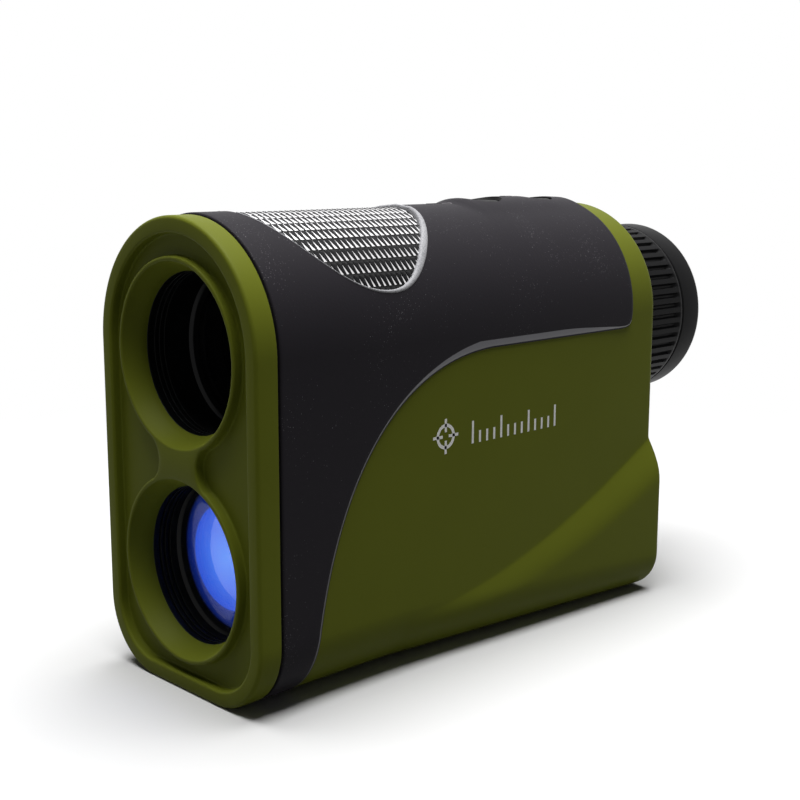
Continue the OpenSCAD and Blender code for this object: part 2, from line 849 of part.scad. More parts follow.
// ---- prism block, laser and display ---------------------------------------------

module prism_holder() {
    color("dimgray") difference() {
        intersection() {
            block([-prism_half_w - prism_wall, block_y, objective_z - block_half_h],
                  [prism_half_w + prism_wall, block_end, objective_z + block_half_h]);
            rod_y(block_r, block_y - past, block_end + past, crown_z);
        }
        block([-prism_half_w - lay, prism_y, objective_z - prism_reach],
              [prism_half_w + lay, block_end + past, objective_z + prism_reach]);
        rod_y(prism_a, block_y - past, prism_y + past, objective_z);
        at([0, laser_y, laser_top_z - past]) cylinder(r = laser_r, h = prism_wall + 2 * past);
    }
}

// First prism: upright entry face, slanted exit face along the air gap
module prism_front() {
    color("azure") across_x(-prism_half_w, prism_half_w) polygon([
        [prism_y + lay, objective_z + prism_a], [prism_y + lay, objective_z - prism_a],
        [prism_y + lay + (prism_reach - prism_a) / tan(22.5), objective_z - prism_reach],
        [prism_y + lay + prism_len, objective_z - prism_reach]
    ]);
}

module prism_rear() {
    exit_y = prism_y + lay + prism_len + prism_air;
    color("azure") across_x(-prism_half_w, prism_half_w) polygon([
        [exit_y - prism_len, objective_z + prism_a], [exit_y, objective_z - prism_reach],
        [exit_y, objective_z + prism_reach], [exit_y - prism_len + 4, objective_z + prism_reach]
    ]);
}

module prism_clip() {
    exit_y = prism_y + lay + prism_len + prism_air;
    color("silver") difference() {
        block([-prism_half_w, exit_y, objective_z - prism_reach + lay],
              [prism_half_w, exit_y + clip_t, objective_z + prism_reach - lay]);
        rod_y(prism_a, exit_y - past, exit_y + 2, objective_z);
    }
}

module laser_holder() {
    color("gray") at([0, laser_y, laser_top_z - laser_len - lay]) difference() {
        cylinder(r = laser_r + laser_wall, h = laser_len);
        translate([0, 0, -past]) cylinder(r = laser_r, h = laser_len + 2 * past);
    }
}

module laser_lens() {
    color("lightblue") at([0, laser_y, laser_top_z - 3]) cylinder(r = laser_r - run, h = 2);
}

module laser_diode() {
    color("gold") at([0, laser_y, laser_top_z - laser_len - lay]) {
        cylinder(r = laser_r - run, h = 1.2);
        cylinder(r = diode_can_r, h = diode_can);
        for (side = [-1, 1]) translate([side * diode_leg_x, 0, -diode_leg])
            cylinder(r = 0.25, h = diode_leg + slice);
    }
}

module display_holder() {
    color("dimgray") difference() {
        rod_y(socket_r, display_y + lay, socket_y - lay, eyepiece_z);
        rod_y(socket_r - display_wall, display_y - past, display_y + display_seat + display_t,
              eyepiece_z);
        rod_y(socket_r - display_wall - display_lip, display_y, socket_y, eyepiece_z);
        block([-socket_r - past, display_y + display_seat - cable_t - 0.2,
               eyepiece_z - cable_half - 0.2],
              [-socket_r + cable_reach, display_y + display_seat, eyepiece_z + cable_half + 0.2]);
    }
}

module reticle_display() {
    color("slategray") rod_y(socket_r - display_wall - run, display_y + display_seat,
                             display_y + display_seat + display_t - lay, eyepiece_z);
}

module flex_cable() {
    y = display_y + display_seat;
    face = board_x + board_t / 2;
    color("orange") {
        block([face, y - cable_t, eyepiece_z - cable_half],
              [-socket_r + cable_reach, y, eyepiece_z + cable_half]);
        block([face, min(board_end, y) - 4.3, eyepiece_z - cable_half],
              [face + cable_t, y, eyepiece_z + cable_half]);
    }
}

// ---- boards --------------------------------------------------------------------

module main_board() {
    color("darkgreen") difference() {
        block([board_x - board_t / 2, board_y, board_low], [board_x + board_t / 2, board_end, board_high]);
        for (spot = screw_spots)
            if (spot[0] < board_end) rod_x(boss_r + 0.4, -half_w, half_w, spot[0], spot[1]);
        for (spot = board_spots) rod_x(board_screw_r + lay, -half_w, half_w, spot[0], spot[1]);
    }
}

// Chips on the board's inner face: [y, z, width, height, thickness]
chip_spots = [
    [chip_y, chip_z, chip_w, chip_w, chip_t], [chip_y, chip_z + 12.5, 7, 5, 1],
    [capacitor_y + 9, board_high - 16, 6, 5, chip_t], [capacitor_y + 3, chip_z + 1, 5, 4, 1.6],
    [capacitor_y + 5, board_low + 2, 7, 4, 1.8]
];
module main_chips() {
    face = board_x + board_t / 2;
    color("black") for (c = chip_spots)
        block([face, c[0] - c[2] / 2, c[1] - c[3] / 2], [face + c[4], c[0] + c[2] / 2, c[1] + c[3] / 2]);
}

module pulse_capacitor() {
    color("midnightblue") rod_y(capacitor_r, capacitor_y, capacitor_y + capacitor_len,
                                between_z - capacitor_r, board_x + board_t / 2 + capacitor_r);
}

module board_screws() {
    face = board_x + board_t / 2;
    color("silver") for (spot = board_spots) {
        rod_x(board_head_r, face, face + board_head_t, spot[0], spot[1]);
        rod_x(board_screw_r, -cavity_r - 0.8, face + slice, spot[0], spot[1]);
    }
}

module button_board() {
    post_z = objective_z + block_half_h + lay;
    color("darkgreen") {
        block([-button_board_half, button_board_front, button_board_z],
              [button_board_half, wall_y - flange_t - rib_t - fit, button_board_z + 1]);
        for (side = [-1, 1])
            at([side * (button_board_half - 3), button_board_front + 3, post_z])
                cylinder(r = post_r, h = button_board_z - post_z + slice);
    }
}

module switch_cases() {
    base = button_board_z + 1;
    color("silver") for (y = [power_y, mode_y]) difference() {
        block([-switch_half, y - switch_half, base], [switch_half, y + switch_half, base + switch_h]);
        at([0, y, base - past]) cylinder(r = plunger_r + run, h = switch_h + 2 * past);
    }
}

// ---- buttons -------------------------------------------------------------------

// Button cap with the flange that keeps it under the casing
module button(y, r) {
    at([0, y, button_base]) cylinder(r = r + flange_over, h = button_flange);
    at([0, y, button_base]) cylinder(r = r, h = button_top - button_base);
}

module plunger(y) {
    at([0, y, button_base - switch_h + fit]) cylinder(r = plunger_r, h = switch_h - fit);
}

module power_button() { color("black") button(power_y, power_r); }
module mode_button() { color("black") button(mode_y, mode_r); }
module power_plunger() { color("ivory") plunger(power_y); }
module mode_plunger() { color("ivory") plunger(mode_y); }

// ---- battery -------------------------------------------------------------------

module battery_tray() {
    color("dimgray") difference() {
        block([-tray_half, tray_y, cavity_in + 0.15],
              [tray_half, frame_y - lay, cell_z + tray_half]);
        rod_y(tray_half - tray_wall, tray_y + tray_wall, frame_y + past, cell_z);
    }
}

module battery_contact() {
    color("silver") {
        rod_y(contact_r, tray_y + tray_wall, tray_y + tray_wall + 0.5, cell_z);
        rod_y(3.6, tray_y + tray_wall + 0.4, cell_end - cell_len - lay, cell_z, 0, 2.2);
    }
}

module battery_cell() {
    color("goldenrod") {
        rod_y(cell_r, cell_end - cell_len + 0.8, cell_end, cell_z);
        rod_y(3, cell_end - cell_len, cell_end - cell_len + 0.8 + slice, cell_z);
    }
}

module battery_door() {
    color("olivedrab") difference() {
        union() {
            along_y(hinge_y, body_len) door_outline(0);
            rod_x(door_t, -door_w / 2, door_w / 2, hinge_y, hinge_z);
            block([-tab_half, hinge_y - 1.6, tab_z], [tab_half, hinge_y + slice, tab_z + tab_t]);
            for (k = [0:2])
                rod_x(0.5, -6, 6, body_len - 0.1, door_top_z - 3 - 1.8 * k);
        }
        rod_x(pin_r + 0.06, -door_w, door_w, hinge_y, hinge_z);
    }
}

module door_seal() {
    color("black") difference() {
        rod_y(seal_r, hinge_y - seal_t, hinge_y, cell_z);
        rod_y(cell_r + 0.8, hinge_y - 2 * seal_t, hinge_y + past, cell_z);
        block([-half_w, 0, 0], [half_w, body_len, hinge_z + door_t + 0.4]);
    }
}

module door_contact() {
    color("silver") {
        rod_y(contact_r, hinge_y - 0.4, hinge_y, cell_z);
        rod_y(contact_tip_r, hinge_y - contact_t, hinge_y - 0.4 + slice, cell_z, 0, contact_r - 0.6);
    }
}

module door_hinge_pin() {
    color("silver") rod_x(pin_r, -door_w / 2 - lug_w + fit, door_w / 2 + lug_w - fit, hinge_y, hinge_z);
}

// ---- eyepiece ------------------------------------------------------------------

module eyepiece_socket() {
    color("black") difference() {
        union() {
            rod_y(socket_r, socket_y, socket_end, eyepiece_z);
            rod_y(flange_r, wall_y - flange_t, wall_y - lay, eyepiece_z);
        }
        rod_y(socket_bore, socket_y - past, socket_end + past, eyepiece_z);
        tube_y(socket_r + past, socket_r - 0.7, clip_y, clip_y + 1.2, eyepiece_z);
        block([-1.05, cell_y - focus_travel - 0.6, eyepiece_z],
              [1.05, socket_end + past, eyepiece_z + socket_bore + 0.9]);
    }
}

module socket_clip() {
    color("silver") difference() {
        tube_y(socket_r + 0.7, socket_r - 0.65, clip_y + 0.1, clip_y + 1.1, eyepiece_z);
        block([-clip_gap, clip_y - past, eyepiece_z],
              [clip_gap, clip_y + 3, eyepiece_z + socket_r + past]);
    }
}

module eyepiece_cell() {
    color("black") difference() {
        union() {
            rod_y(socket_bore - run, cell_y, cell_end_y, eyepiece_z);
            rod_y(thread_r - 0.1, cell_flange_y, cell_end_y, eyepiece_z);
            block([-1, cell_y, eyepiece_z + 9],
                  [1, field_seat_y, eyepiece_z + socket_bore + 0.8]);
        }
        rod_y(eye_r, cell_y - past, cell_end_y + past, eyepiece_z);
        rod_y(eye_lens_r + lay, cell_y - past, field_seat_y, eyepiece_z);
        rod_y(eye_lens_r + lay, eye_seat_y, cell_end_y + past, eyepiece_z);
    }
}

module field_lens() {
    color("lightblue") lens(eye_lens_r, field_edge, field_sag, field_rear_sag, field_lens_y,
                            eyepiece_z);
}

module eye_lens() {
    color("lightblue") lens(eye_lens_r, eye_edge, eye_sag, eye_rear_sag, eye_lens_y, eyepiece_z);
}

module eye_lens_retainer() {
    color("black") tube_y(eye_lens_r, eye_retainer_r, eye_retainer_y, eye_retainer_y + 1.5,
                          eyepiece_z);
}

module diopter_ring() {
    color("black") difference() {
        rod_y(eyepiece_r, ring_y, cup_y - lay, eyepiece_z);
        rod_y(socket_r + run, ring_y - past, clip_y + past, eyepiece_z);
        rod_y(socket_r + 0.9, clip_y - fit, clip_y + 1.4, eyepiece_z);
        rod_y(socket_r + run, clip_y, socket_end + 0.2, eyepiece_z);
        rod_y(thread_r, clip_y, cup_y + past, eyepiece_z);
        for (k = [0:rib_count - 1]) rotate_y(360 * k / rib_count)
            block([-0.45, ring_y - past, eyepiece_r - rib_depth], [0.45, cup_y - 1.2, eyepiece_r + past]);
    }
}

// Turns a shape drawn above the eyepiece axis about that axis
module rotate_y(angle) {
    translate([0, 0, eyepiece_z]) rotate([0, angle, 0]) children();
}

module eyecup() {
    wall = 1.6;
    edge = 1.5;
    color("black") at([0, cup_y, eyepiece_z]) rotate([-90, 0, 0]) rotate_extrude() union() {
        difference() {
            square([eyepiece_r, eyecup_len]);
            polygon([
                [-past, -past], [eye_r, -past], [eye_r, wall], [eyepiece_r - 4, eyecup_len - 1],
                [eyepiece_r - 3.2, eyecup_len + past], [-past, eyecup_len + past]
            ]);
            translate([eyepiece_r - edge, eyecup_len - edge]) difference() {
                square(edge + past);
                circle(r = edge);
            }
        }
    }
}

module lanyard_bar() {
    color("silver") at([lanyard_x, lanyard_y, lanyard_z - lanyard_half - bar_seat])
        cylinder(r = lanyard_r, h = 2 * (lanyard_half + bar_seat));
}

// ---- the nodes ------------------------------------------------------------------

front_bezel();
front_gasket();
left_shell();
right_shell();
shell_screws();
grip_cover();
finger_pad();
pad_rim();
objective_barrel();
objective_retainer();
objective_crown();
objective_flint();
receiver_barrel();
receiver_retainer();
receiver_lens();
detector();
detector_board();
prism_holder();
prism_front();
prism_rear();
prism_clip();
laser_holder();
laser_lens();
laser_diode();
display_holder();
reticle_display();
flex_cable();
main_board();
main_chips();
pulse_capacitor();
board_screws();
button_board();
switch_cases();
power_button();
power_plunger();
mode_button();
mode_plunger();
battery_tray();
battery_contact();
battery_cell();
battery_door();
door_seal();
door_contact();
door_hinge_pin();
eyepiece_socket();
socket_clip();
eyepiece_cell();
field_lens();
eye_lens();
eye_lens_retainer();
diopter_ring();
eyecup();
lanyard_bar();
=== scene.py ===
"""Handheld laser rangefinder: dressed pieces around the frame of the same part.

Lengths inside the functions are millimetres. Points are (x, y, z) with y counted from the front
face, and piece() moves them to the frame and turns them to metres.
"""
import json
import math
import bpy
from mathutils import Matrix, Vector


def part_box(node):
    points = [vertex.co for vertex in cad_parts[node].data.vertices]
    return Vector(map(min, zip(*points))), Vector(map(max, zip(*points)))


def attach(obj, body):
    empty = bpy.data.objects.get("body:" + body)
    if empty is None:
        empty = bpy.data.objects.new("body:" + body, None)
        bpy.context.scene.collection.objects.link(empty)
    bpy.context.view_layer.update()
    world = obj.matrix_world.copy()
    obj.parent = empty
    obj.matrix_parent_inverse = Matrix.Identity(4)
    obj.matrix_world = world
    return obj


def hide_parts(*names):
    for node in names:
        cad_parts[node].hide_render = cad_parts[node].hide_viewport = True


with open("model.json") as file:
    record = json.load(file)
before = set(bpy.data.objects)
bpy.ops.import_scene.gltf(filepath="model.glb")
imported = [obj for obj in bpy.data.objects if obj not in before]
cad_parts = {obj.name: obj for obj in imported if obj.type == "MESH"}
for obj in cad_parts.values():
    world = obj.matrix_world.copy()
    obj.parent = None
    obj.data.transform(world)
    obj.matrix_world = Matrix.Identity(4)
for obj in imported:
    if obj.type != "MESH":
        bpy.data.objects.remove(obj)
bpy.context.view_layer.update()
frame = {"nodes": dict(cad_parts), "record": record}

from types import SimpleNamespace

import bmesh
import bpy
import numpy as np
from mathutils import Matrix, Vector

bl_info = {
    "name": "Laser rangefinder",
    "version": (1, 0, 0),
    "blender": (4, 5, 0),
    "location": "3D View > Sidebar > Rangefinder",
    "description": "Builds the pieces, finishes and studio of a handheld laser rangefinder",
    "category": "Object",
}

MM = 0.001
FRONT_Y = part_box("front_bezel")[0][1] / MM
PIECE_SLOTS = {}


# ---- sizes and colours ------------------------------------------------------------

def length(name, description, mm):
    """A length property whose default is given in millimetres."""
    return bpy.props.FloatProperty(
        name=name, description=description, default=mm * MM, unit="LENGTH", precision=5)


def linear(code):
    """Linear red, green and blue of an sRGB hex colour."""
    srgb = [int(code[i:i + 2], 16) / 255 for i in (1, 3, 5)]
    return [c / 12.92 if c <= 0.04045 else ((c + 0.055) / 1.055) ** 2.4 for c in srgb]


def colour(name, description, code):
    """A colour property whose default is an sRGB hex colour."""
    return bpy.props.FloatVectorProperty(
        name=name, description=description, default=linear(code), subtype="COLOR", size=3,
        min=0, max=1)


class RangefinderCasing(bpy.types.PropertyGroup):
    """Sizes of the casing and its flared heel."""
    half_w: length("Half width", "Half the width across the front plate", 20)
    crown: length("Crown axis", "Height of the axis that the crown is struck from", 54)
    base_r: length("Base radius", "Radius of the two lower long edges", 11.5)
    long: length("Length", "From the front face to the rear face of the casing", 95)
    start: length("Front", "Where the casing starts behind the gasket", 4.4)
    step: length("Step", "How far the bare casing lies inside the front plate", 0.4)
    rear: length("Rear rounding", "Rounding of the rear edge", 1.25)
    flare: length("Flare", "How far each side of the heel flares out", 3)
    flare_top: length("Flare top", "Height of the crease at the rear", 30)
    flare_low: length("Flare low", "Height of the crease where it dies out", 9)
    flare_start: length("Flare start", "Where the flare begins", 30)
    heel_r: length("Heel radius", "Radius of the heel's lower edge at the rear", 7.5)
    crease: length("Crease", "Width over which the crease is rounded", 0.25)


class RangefinderFront(bpy.types.PropertyGroup):
    """Sizes of the front plate and the windows."""
    thick: length("Thickness", "Thickness of the plate's visible edge", 4)
    lip: length("Lip", "Rounding of the plate's front edge", 0.6)
    rim: length("Rim", "Width of the raised rim", 2.6)
    floor: length("Floor", "Depth of the sunken floor", 1.6)
    upper_z: length("Upper axis", "Height of the upper window's axis", 53)
    lower_z: length("Lower axis", "Height of the lower window's axis", 19.6)
    ring: length("Ring", "Radius of the window rings", 15)
    web: length("Web", "Half width of the web between the rings", 4.9)
    notch: length("Notch", "Radius of the notches beside the web", 4)
    funnel: length("Funnel", "Radius at which each funnel starts", 14.2)
    bore: length("Bore", "Radius of the bore in front of each lens", 12.6)


class RangefinderCover(bpy.types.PropertyGroup):
    """Sizes of the rubber cover, the finger pad and the button panel."""
    proud: length("Proud", "How far the cover stands out over the casing", 0.5)
    foot: length("Foot", "Where the cover's edge meets the base", 10.6)
    edge_z: length("Edge height", "Height of the cover's level edge", 51.5)
    level: length("Level from", "Where the cover's edge gets level", 50)
    rear: length("Rear end", "Where the cover ends at the crown", 90)
    pad_front: length("Pad front", "Front tip of the finger pad", 10.5)
    pad_rear: length("Pad rear", "Rear end of the finger pad", 47)
    pad_low: length("Pad low", "Height of the pad's lowest point", 62)
    pad_rim: length("Pad rim", "Greatest width of the pad's bright rim", 1.5)
    stud: length("Stud pitch", "Distance between the pad's studs from front to rear", 1.1)
    stud_row: length("Stud row", "Distance between the pad's studs round the crown", 2.4)
    panel_r: length("Panel radius", "Radius of the button panel's section", 12)
    panel_z: length("Panel height", "Height of the button panel's crown", 75.3)
    power_y: length("Power button", "Place of the power button", 66.5)
    mode_y: length("Mode button", "Place of the mode button", 81.5)
    power_r: length("Power radius", "Radius of the power button", 4)
    mode_r: length("Mode radius", "Radius of the mode button", 3.6)


class RangefinderEyepiece(bpy.types.PropertyGroup):
    """Sizes of the eyepiece."""
    axis: length("Axis", "Height of the eyepiece's axis", 52)
    start: length("Ring front", "Front face of the ribbed ring", 95.4)
    cup: length("Cup front", "Front face of the eyecup", 108.2)
    end: length("End", "Rear face of the eyecup", 114.5)
    radius: length("Radius", "Outer radius of the ring and the cup", 16.8)
    rib: length("Rib depth", "Depth of the grooves between the ribs", 0.7)
    opening: length("Opening", "Radius of the opening in front of the eye", 9.5)
    ribs: bpy.props.IntProperty(name="Ribs", description="Number of grip ribs", default=54, min=12)


class RangefinderColours(bpy.types.PropertyGroup):
    """Colours of the outer pieces."""
    green: colour("Casing", "Moulded casing and front plate", "#666d20")
    rubber: colour("Cover", "Rubber grip cover", "#28262a")
    black: colour("Eyepiece", "Eyepiece rubber", "#0f0f10")
    foil: colour("Pad", "Stamped foil on the finger pad", "#e2e1e2")
    rim: colour("Pad rim", "Rim behind the finger pad", "#a3a3a6")
    print: colour("Print", "Printed scale on the side", "#fbfbf8")


def in_mm(group):
    """The lengths of a property group in millimetres, its other values as they are."""
    values = {}
    for prop in group.bl_rna.properties:
        if prop.identifier in ("rna_type", "name"):
            continue
        value = getattr(group, prop.identifier)
        values[prop.identifier] = value / MM if prop.type == "FLOAT" and not prop.is_array else value
    return SimpleNamespace(**values)


# ---- shells: (points, faces) --------------------------------------------------------

def surface(points, wrap_rows=False, wrap_cols=False):
    """Shell of a grid of points. Each quad joins two neighbouring rows and columns."""
    rows, cols = points.shape[:2]
    i = np.arange(rows if wrap_rows else rows - 1)[:, None]
    j = np.arange(cols if wrap_cols else cols - 1)[None, :]
    i1, j1 = (i + 1) % rows, (j + 1) % cols
    quads = np.stack([i * cols + j, i * cols + j1, i1 * cols + j1, i1 * cols + j], axis=-1)
    return points.reshape(-1, 3), quads.reshape(-1, 4).tolist()


def row_at(x, y, z):
    """Points of x and z at one depth y."""
    return np.stack([x, np.full(x.shape, y), z], axis=-1)


def direction(points, axis):
    """Unit tangents of lines of points that run along an axis of the array."""
    way = np.gradient(points, axis=axis)
    return way / np.linalg.norm(way, axis=-1, keepdims=True)


def evenly(line, s):
    """Points of a plane line at the shares s of its length."""
    run = np.append(0, np.cumsum(np.linalg.norm(np.diff(line, axis=0), axis=1)))
    return np.column_stack([np.interp(s * run[-1], run, line[:, k]) for k in (0, 1)])


def walls(low, high):
    """Shells of the four sides between two sheets of points."""
    takes = (lambda p: p[0], lambda p: p[-1], lambda p: p[:, 0], lambda p: p[:, -1])
    return [surface(np.stack([take(low), take(high)])) for take in takes]


def fill(loop):
    """Shell of one flat face through the points of a loop."""
    return np.asarray(loop, float), [list(range(len(loop)))]


def slab(low, high):
    """Closed box between two corners."""
    corners = np.array([[(low, high)[(i >> k) & 1][k] for k in range(3)] for i in range(8)], float)
    return corners, [[0, 2, 3, 1], [4, 5, 7, 6], [0, 1, 5, 4], [2, 6, 7, 3], [0, 4, 6, 2], [1, 3, 7, 5]]


def turned(profile, centre, axis="y", count=96, closed=True):
    """Profile of (radius, height along the axis) carried once round the axis through centre."""
    profile = np.asarray(profile, float)
    turn = np.linspace(0, 2 * math.pi, count, endpoint=False)
    r, h = profile[:, :1], profile[:, 1:]
    along = h + 0 * turn
    side, up = r * np.sin(turn), r * np.cos(turn)
    x, y, z = {"x": (along, side, up), "y": (side, along, up), "z": (side, up, along)}[axis]
    points = np.stack([x + centre[0], y + centre[1], z + centre[2]], axis=-1)
    return surface(points, wrap_rows=closed, wrap_cols=True)


def rod(centre, axis, r, h0, h1, count=48):
    """Closed round bar from h0 to h1 along an axis through centre."""
    return turned([(0, h0), (r, h0), (r, h1), (0, h1)], centre, axis, count, closed=False)


def filleted(corners, steps=5):
    """Closed profile whose corners (a, b, radius) are rounded by arcs tangent to both sides."""
    points = []
    pts = [np.array(c[:2], float) for c in corners]
    for k, corner in enumerate(corners):
        p, radius = pts[k], corner[2]
        to_last, to_next = pts[k - 1] - p, pts[(k + 1) % len(pts)] - p
        if radius <= 0:
            points.append(p)
            continue
        to_last, to_next = to_last / np.linalg.norm(to_last), to_next / np.linalg.norm(to_next)
        half = math.acos(np.clip(to_last @ to_next, -1, 1)) / 2
        reach = radius / math.tan(half)
        middle = (to_last + to_next) / np.linalg.norm(to_last + to_next)
        centre = p + middle * radius / math.sin(half)
        start, end = p + to_last * reach - centre, p + to_next * reach - centre
        a0 = math.atan2(start[1], start[0])
        sweep = (math.atan2(end[1], end[0]) - a0 + math.pi) % (2 * math.pi) - math.pi
        angles = a0 + sweep * np.linspace(0, 1, steps + 1)
        points += list(centre + radius * np.stack([np.cos(angles), np.sin(angles)], axis=-1))
    return np.array(points)


def across(outline, x0, x1):
    """Closed prism: a loop of (y, z) points carried in x from x0 to x1."""
    loop = np.asarray(outline, float)
    rows = np.stack([np.column_stack([np.full(len(loop), x), loop]) for x in (x0, x1)])
    wall = surface(rows, wrap_cols=True)
    return join([wall, fill(rows[0]), fill(rows[1])])


def mirrored(shell):
    """The shell on the other side of x = 0, still pointing outwards."""
    points, faces = shell
    return points * [-1, 1, 1], [face[::-1] for face in faces]


def join(shells):
    """One shell of several."""
    points, faces, start = [], [], 0
    for shell_points, shell_faces in shells:
        points.append(shell_points)
        faces += [[start + v for v in face] for face in shell_faces]
        start += len(shell_points)
    return np.concatenate(points), faces


def raw(name, shell, marks=None, finishes=()):
    """Object of a shell in the frame, welded, with all faces pointing outwards. Marks say which
    of the finishes each face gets."""
    points, faces = shell
    mesh = bpy.data.meshes.new(name)
    mesh.from_pydata(((points + [0, FRONT_Y, 0]) * MM).tolist(), [], faces)
    for finish in finishes:
        mesh.materials.append(bpy.data.materials[finish])
    if marks is not None:
        mesh.polygons.foreach_set("material_index", marks)
    bm = bmesh.new()
    bm.from_mesh(mesh)
    bmesh.ops.remove_doubles(bm, verts=bm.verts, dist=0.002 * MM)
    bmesh.ops.recalc_face_normals(bm, faces=bm.faces)
    bm.to_mesh(mesh)
    bm.free()
    made = bpy.data.objects.new(name, mesh)
    bpy.context.scene.collection.objects.link(made)
    return made


def cut(made, groups, operation="DIFFERENCE"):
    """Cuts closed shells out of an object. The shells of one group don't touch each other."""
    cutters = []
    for shells in groups:
        cutter = raw("cutter", join(shells))
        cutters.append(cutter)
        change = made.modifiers.new("cut", "BOOLEAN")
        change.operation, change.solver, change.object = operation, "EXACT", cutter
    shape = made.evaluated_get(bpy.context.evaluated_depsgraph_get())
    old, made.data = made.data, bpy.data.meshes.new_from_object(shape)
    made.modifiers.clear()
    bpy.data.meshes.remove(old)
    for cutter in cutters:
        bpy.data.meshes.remove(cutter.data)


def dress(made, body, finishes, replaced=(), sharp=30):
    """Gives a piece its finishes, its shading, its body and the nodes that it stands for."""
    if not made.data.materials:
        for finish in finishes:
            made.data.materials.append(bpy.data.materials[finish])
    made.data.shade_smooth()
    made.data.set_sharp_from_angle(angle=math.radians(sharp))
    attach(made, body)
    if replaced:
        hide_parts(*replaced)
    return made


def piece(name, shell, body, finish, replaced=(), sharp=30):
    """A finished piece of one shell."""
    return dress(raw(name, shell), body, [finish], replaced, sharp)


# ---- front plate ---------------------------------------------------------------------

def outline_at(c, inset, q):
    """Casing section for q from 0 at the crown over 1 at the side to 2 at the middle of the base:
    quarter circle, upright side, quarter circle, base, all drawn inward by inset."""
    turn = np.clip(q / 0.6, 0, 1) * math.pi / 2
    low_turn = np.clip((q - 1.5) / 0.32, 0, 1) * math.pi / 2
    top_r, low_r = c.half_w - inset, c.base_r - inset
    mid = (c.crown + c.base_r) / 2 + 3.5
    x = top_r * np.sin(turn) - low_r * (1 - np.cos(low_turn))
    x = x * np.where(q > 1.82, (2 - q) / 0.18, 1)
    z = c.crown + top_r * np.cos(turn)
    z = np.where(q > 0.6, c.crown + (mid - c.crown) * (q - 0.6) / 0.4, z)
    z = np.where(q > 1, mid + (c.base_r - mid) * (q - 1) / 0.5, z)
    z = np.where(q > 1.5, inset + low_r * (1 - np.sin(low_turn)), z)
    return x, z


def eight_at(f, grow, q):
    """Window rings joined by their web, for the same q: circle, notch, notch, circle."""
    mid, rise = (f.upper_z + f.lower_z) / 2, (f.upper_z - f.lower_z) / 2
    notch_x = f.web + f.notch
    touch = math.atan2(rise, notch_x)
    p = 1 - abs(q - 1)
    turn = math.pi / 2 - np.clip(p / 0.9, 0, 1) * (math.pi / 2 + touch)
    ring = f.ring + grow
    x, z = ring * np.cos(turn), rise + ring * np.sin(turn)
    notch_turn = math.pi - touch * np.clip((1 - p) / 0.1, 0, 1)
    notch = f.notch - grow
    x = np.where(p > 0.9, notch_x + notch * np.cos(notch_turn), x)
    z = np.where(p > 0.9, notch * np.sin(notch_turn), z)
    return x, mid + z * np.sign(1 - q + 1e-12)


Q_RIGHT = np.unique(np.round(np.concatenate([
    np.linspace(0, 0.6, 61), np.linspace(0.6, 0.9, 24), np.linspace(0.9, 1.1, 25),
    np.linspace(1.1, 1.5, 32), np.linspace(1.5, 1.82, 30), np.linspace(1.82, 2, 10)]), 9))


def ring_row(half, y):
    """Closed row at depth y from the right half (x, z) and its mirror."""
    x, z = half
    return row_at(np.append(x, -x[-2:0:-1]), y, np.append(z, z[-2:0:-1]))


def quarter(n):
    """Pairs (1 - cos, 1 - sin) over a quarter turn."""
    turn = np.linspace(0, math.pi / 2, n)
    return list(zip(1 - np.cos(turn), 1 - np.sin(turn)))


def swell(n):
    """Pairs (sin, cos) over a quarter turn."""
    return [(math.sin(a), math.cos(a)) for a in np.linspace(0, math.pi / 2, n)]


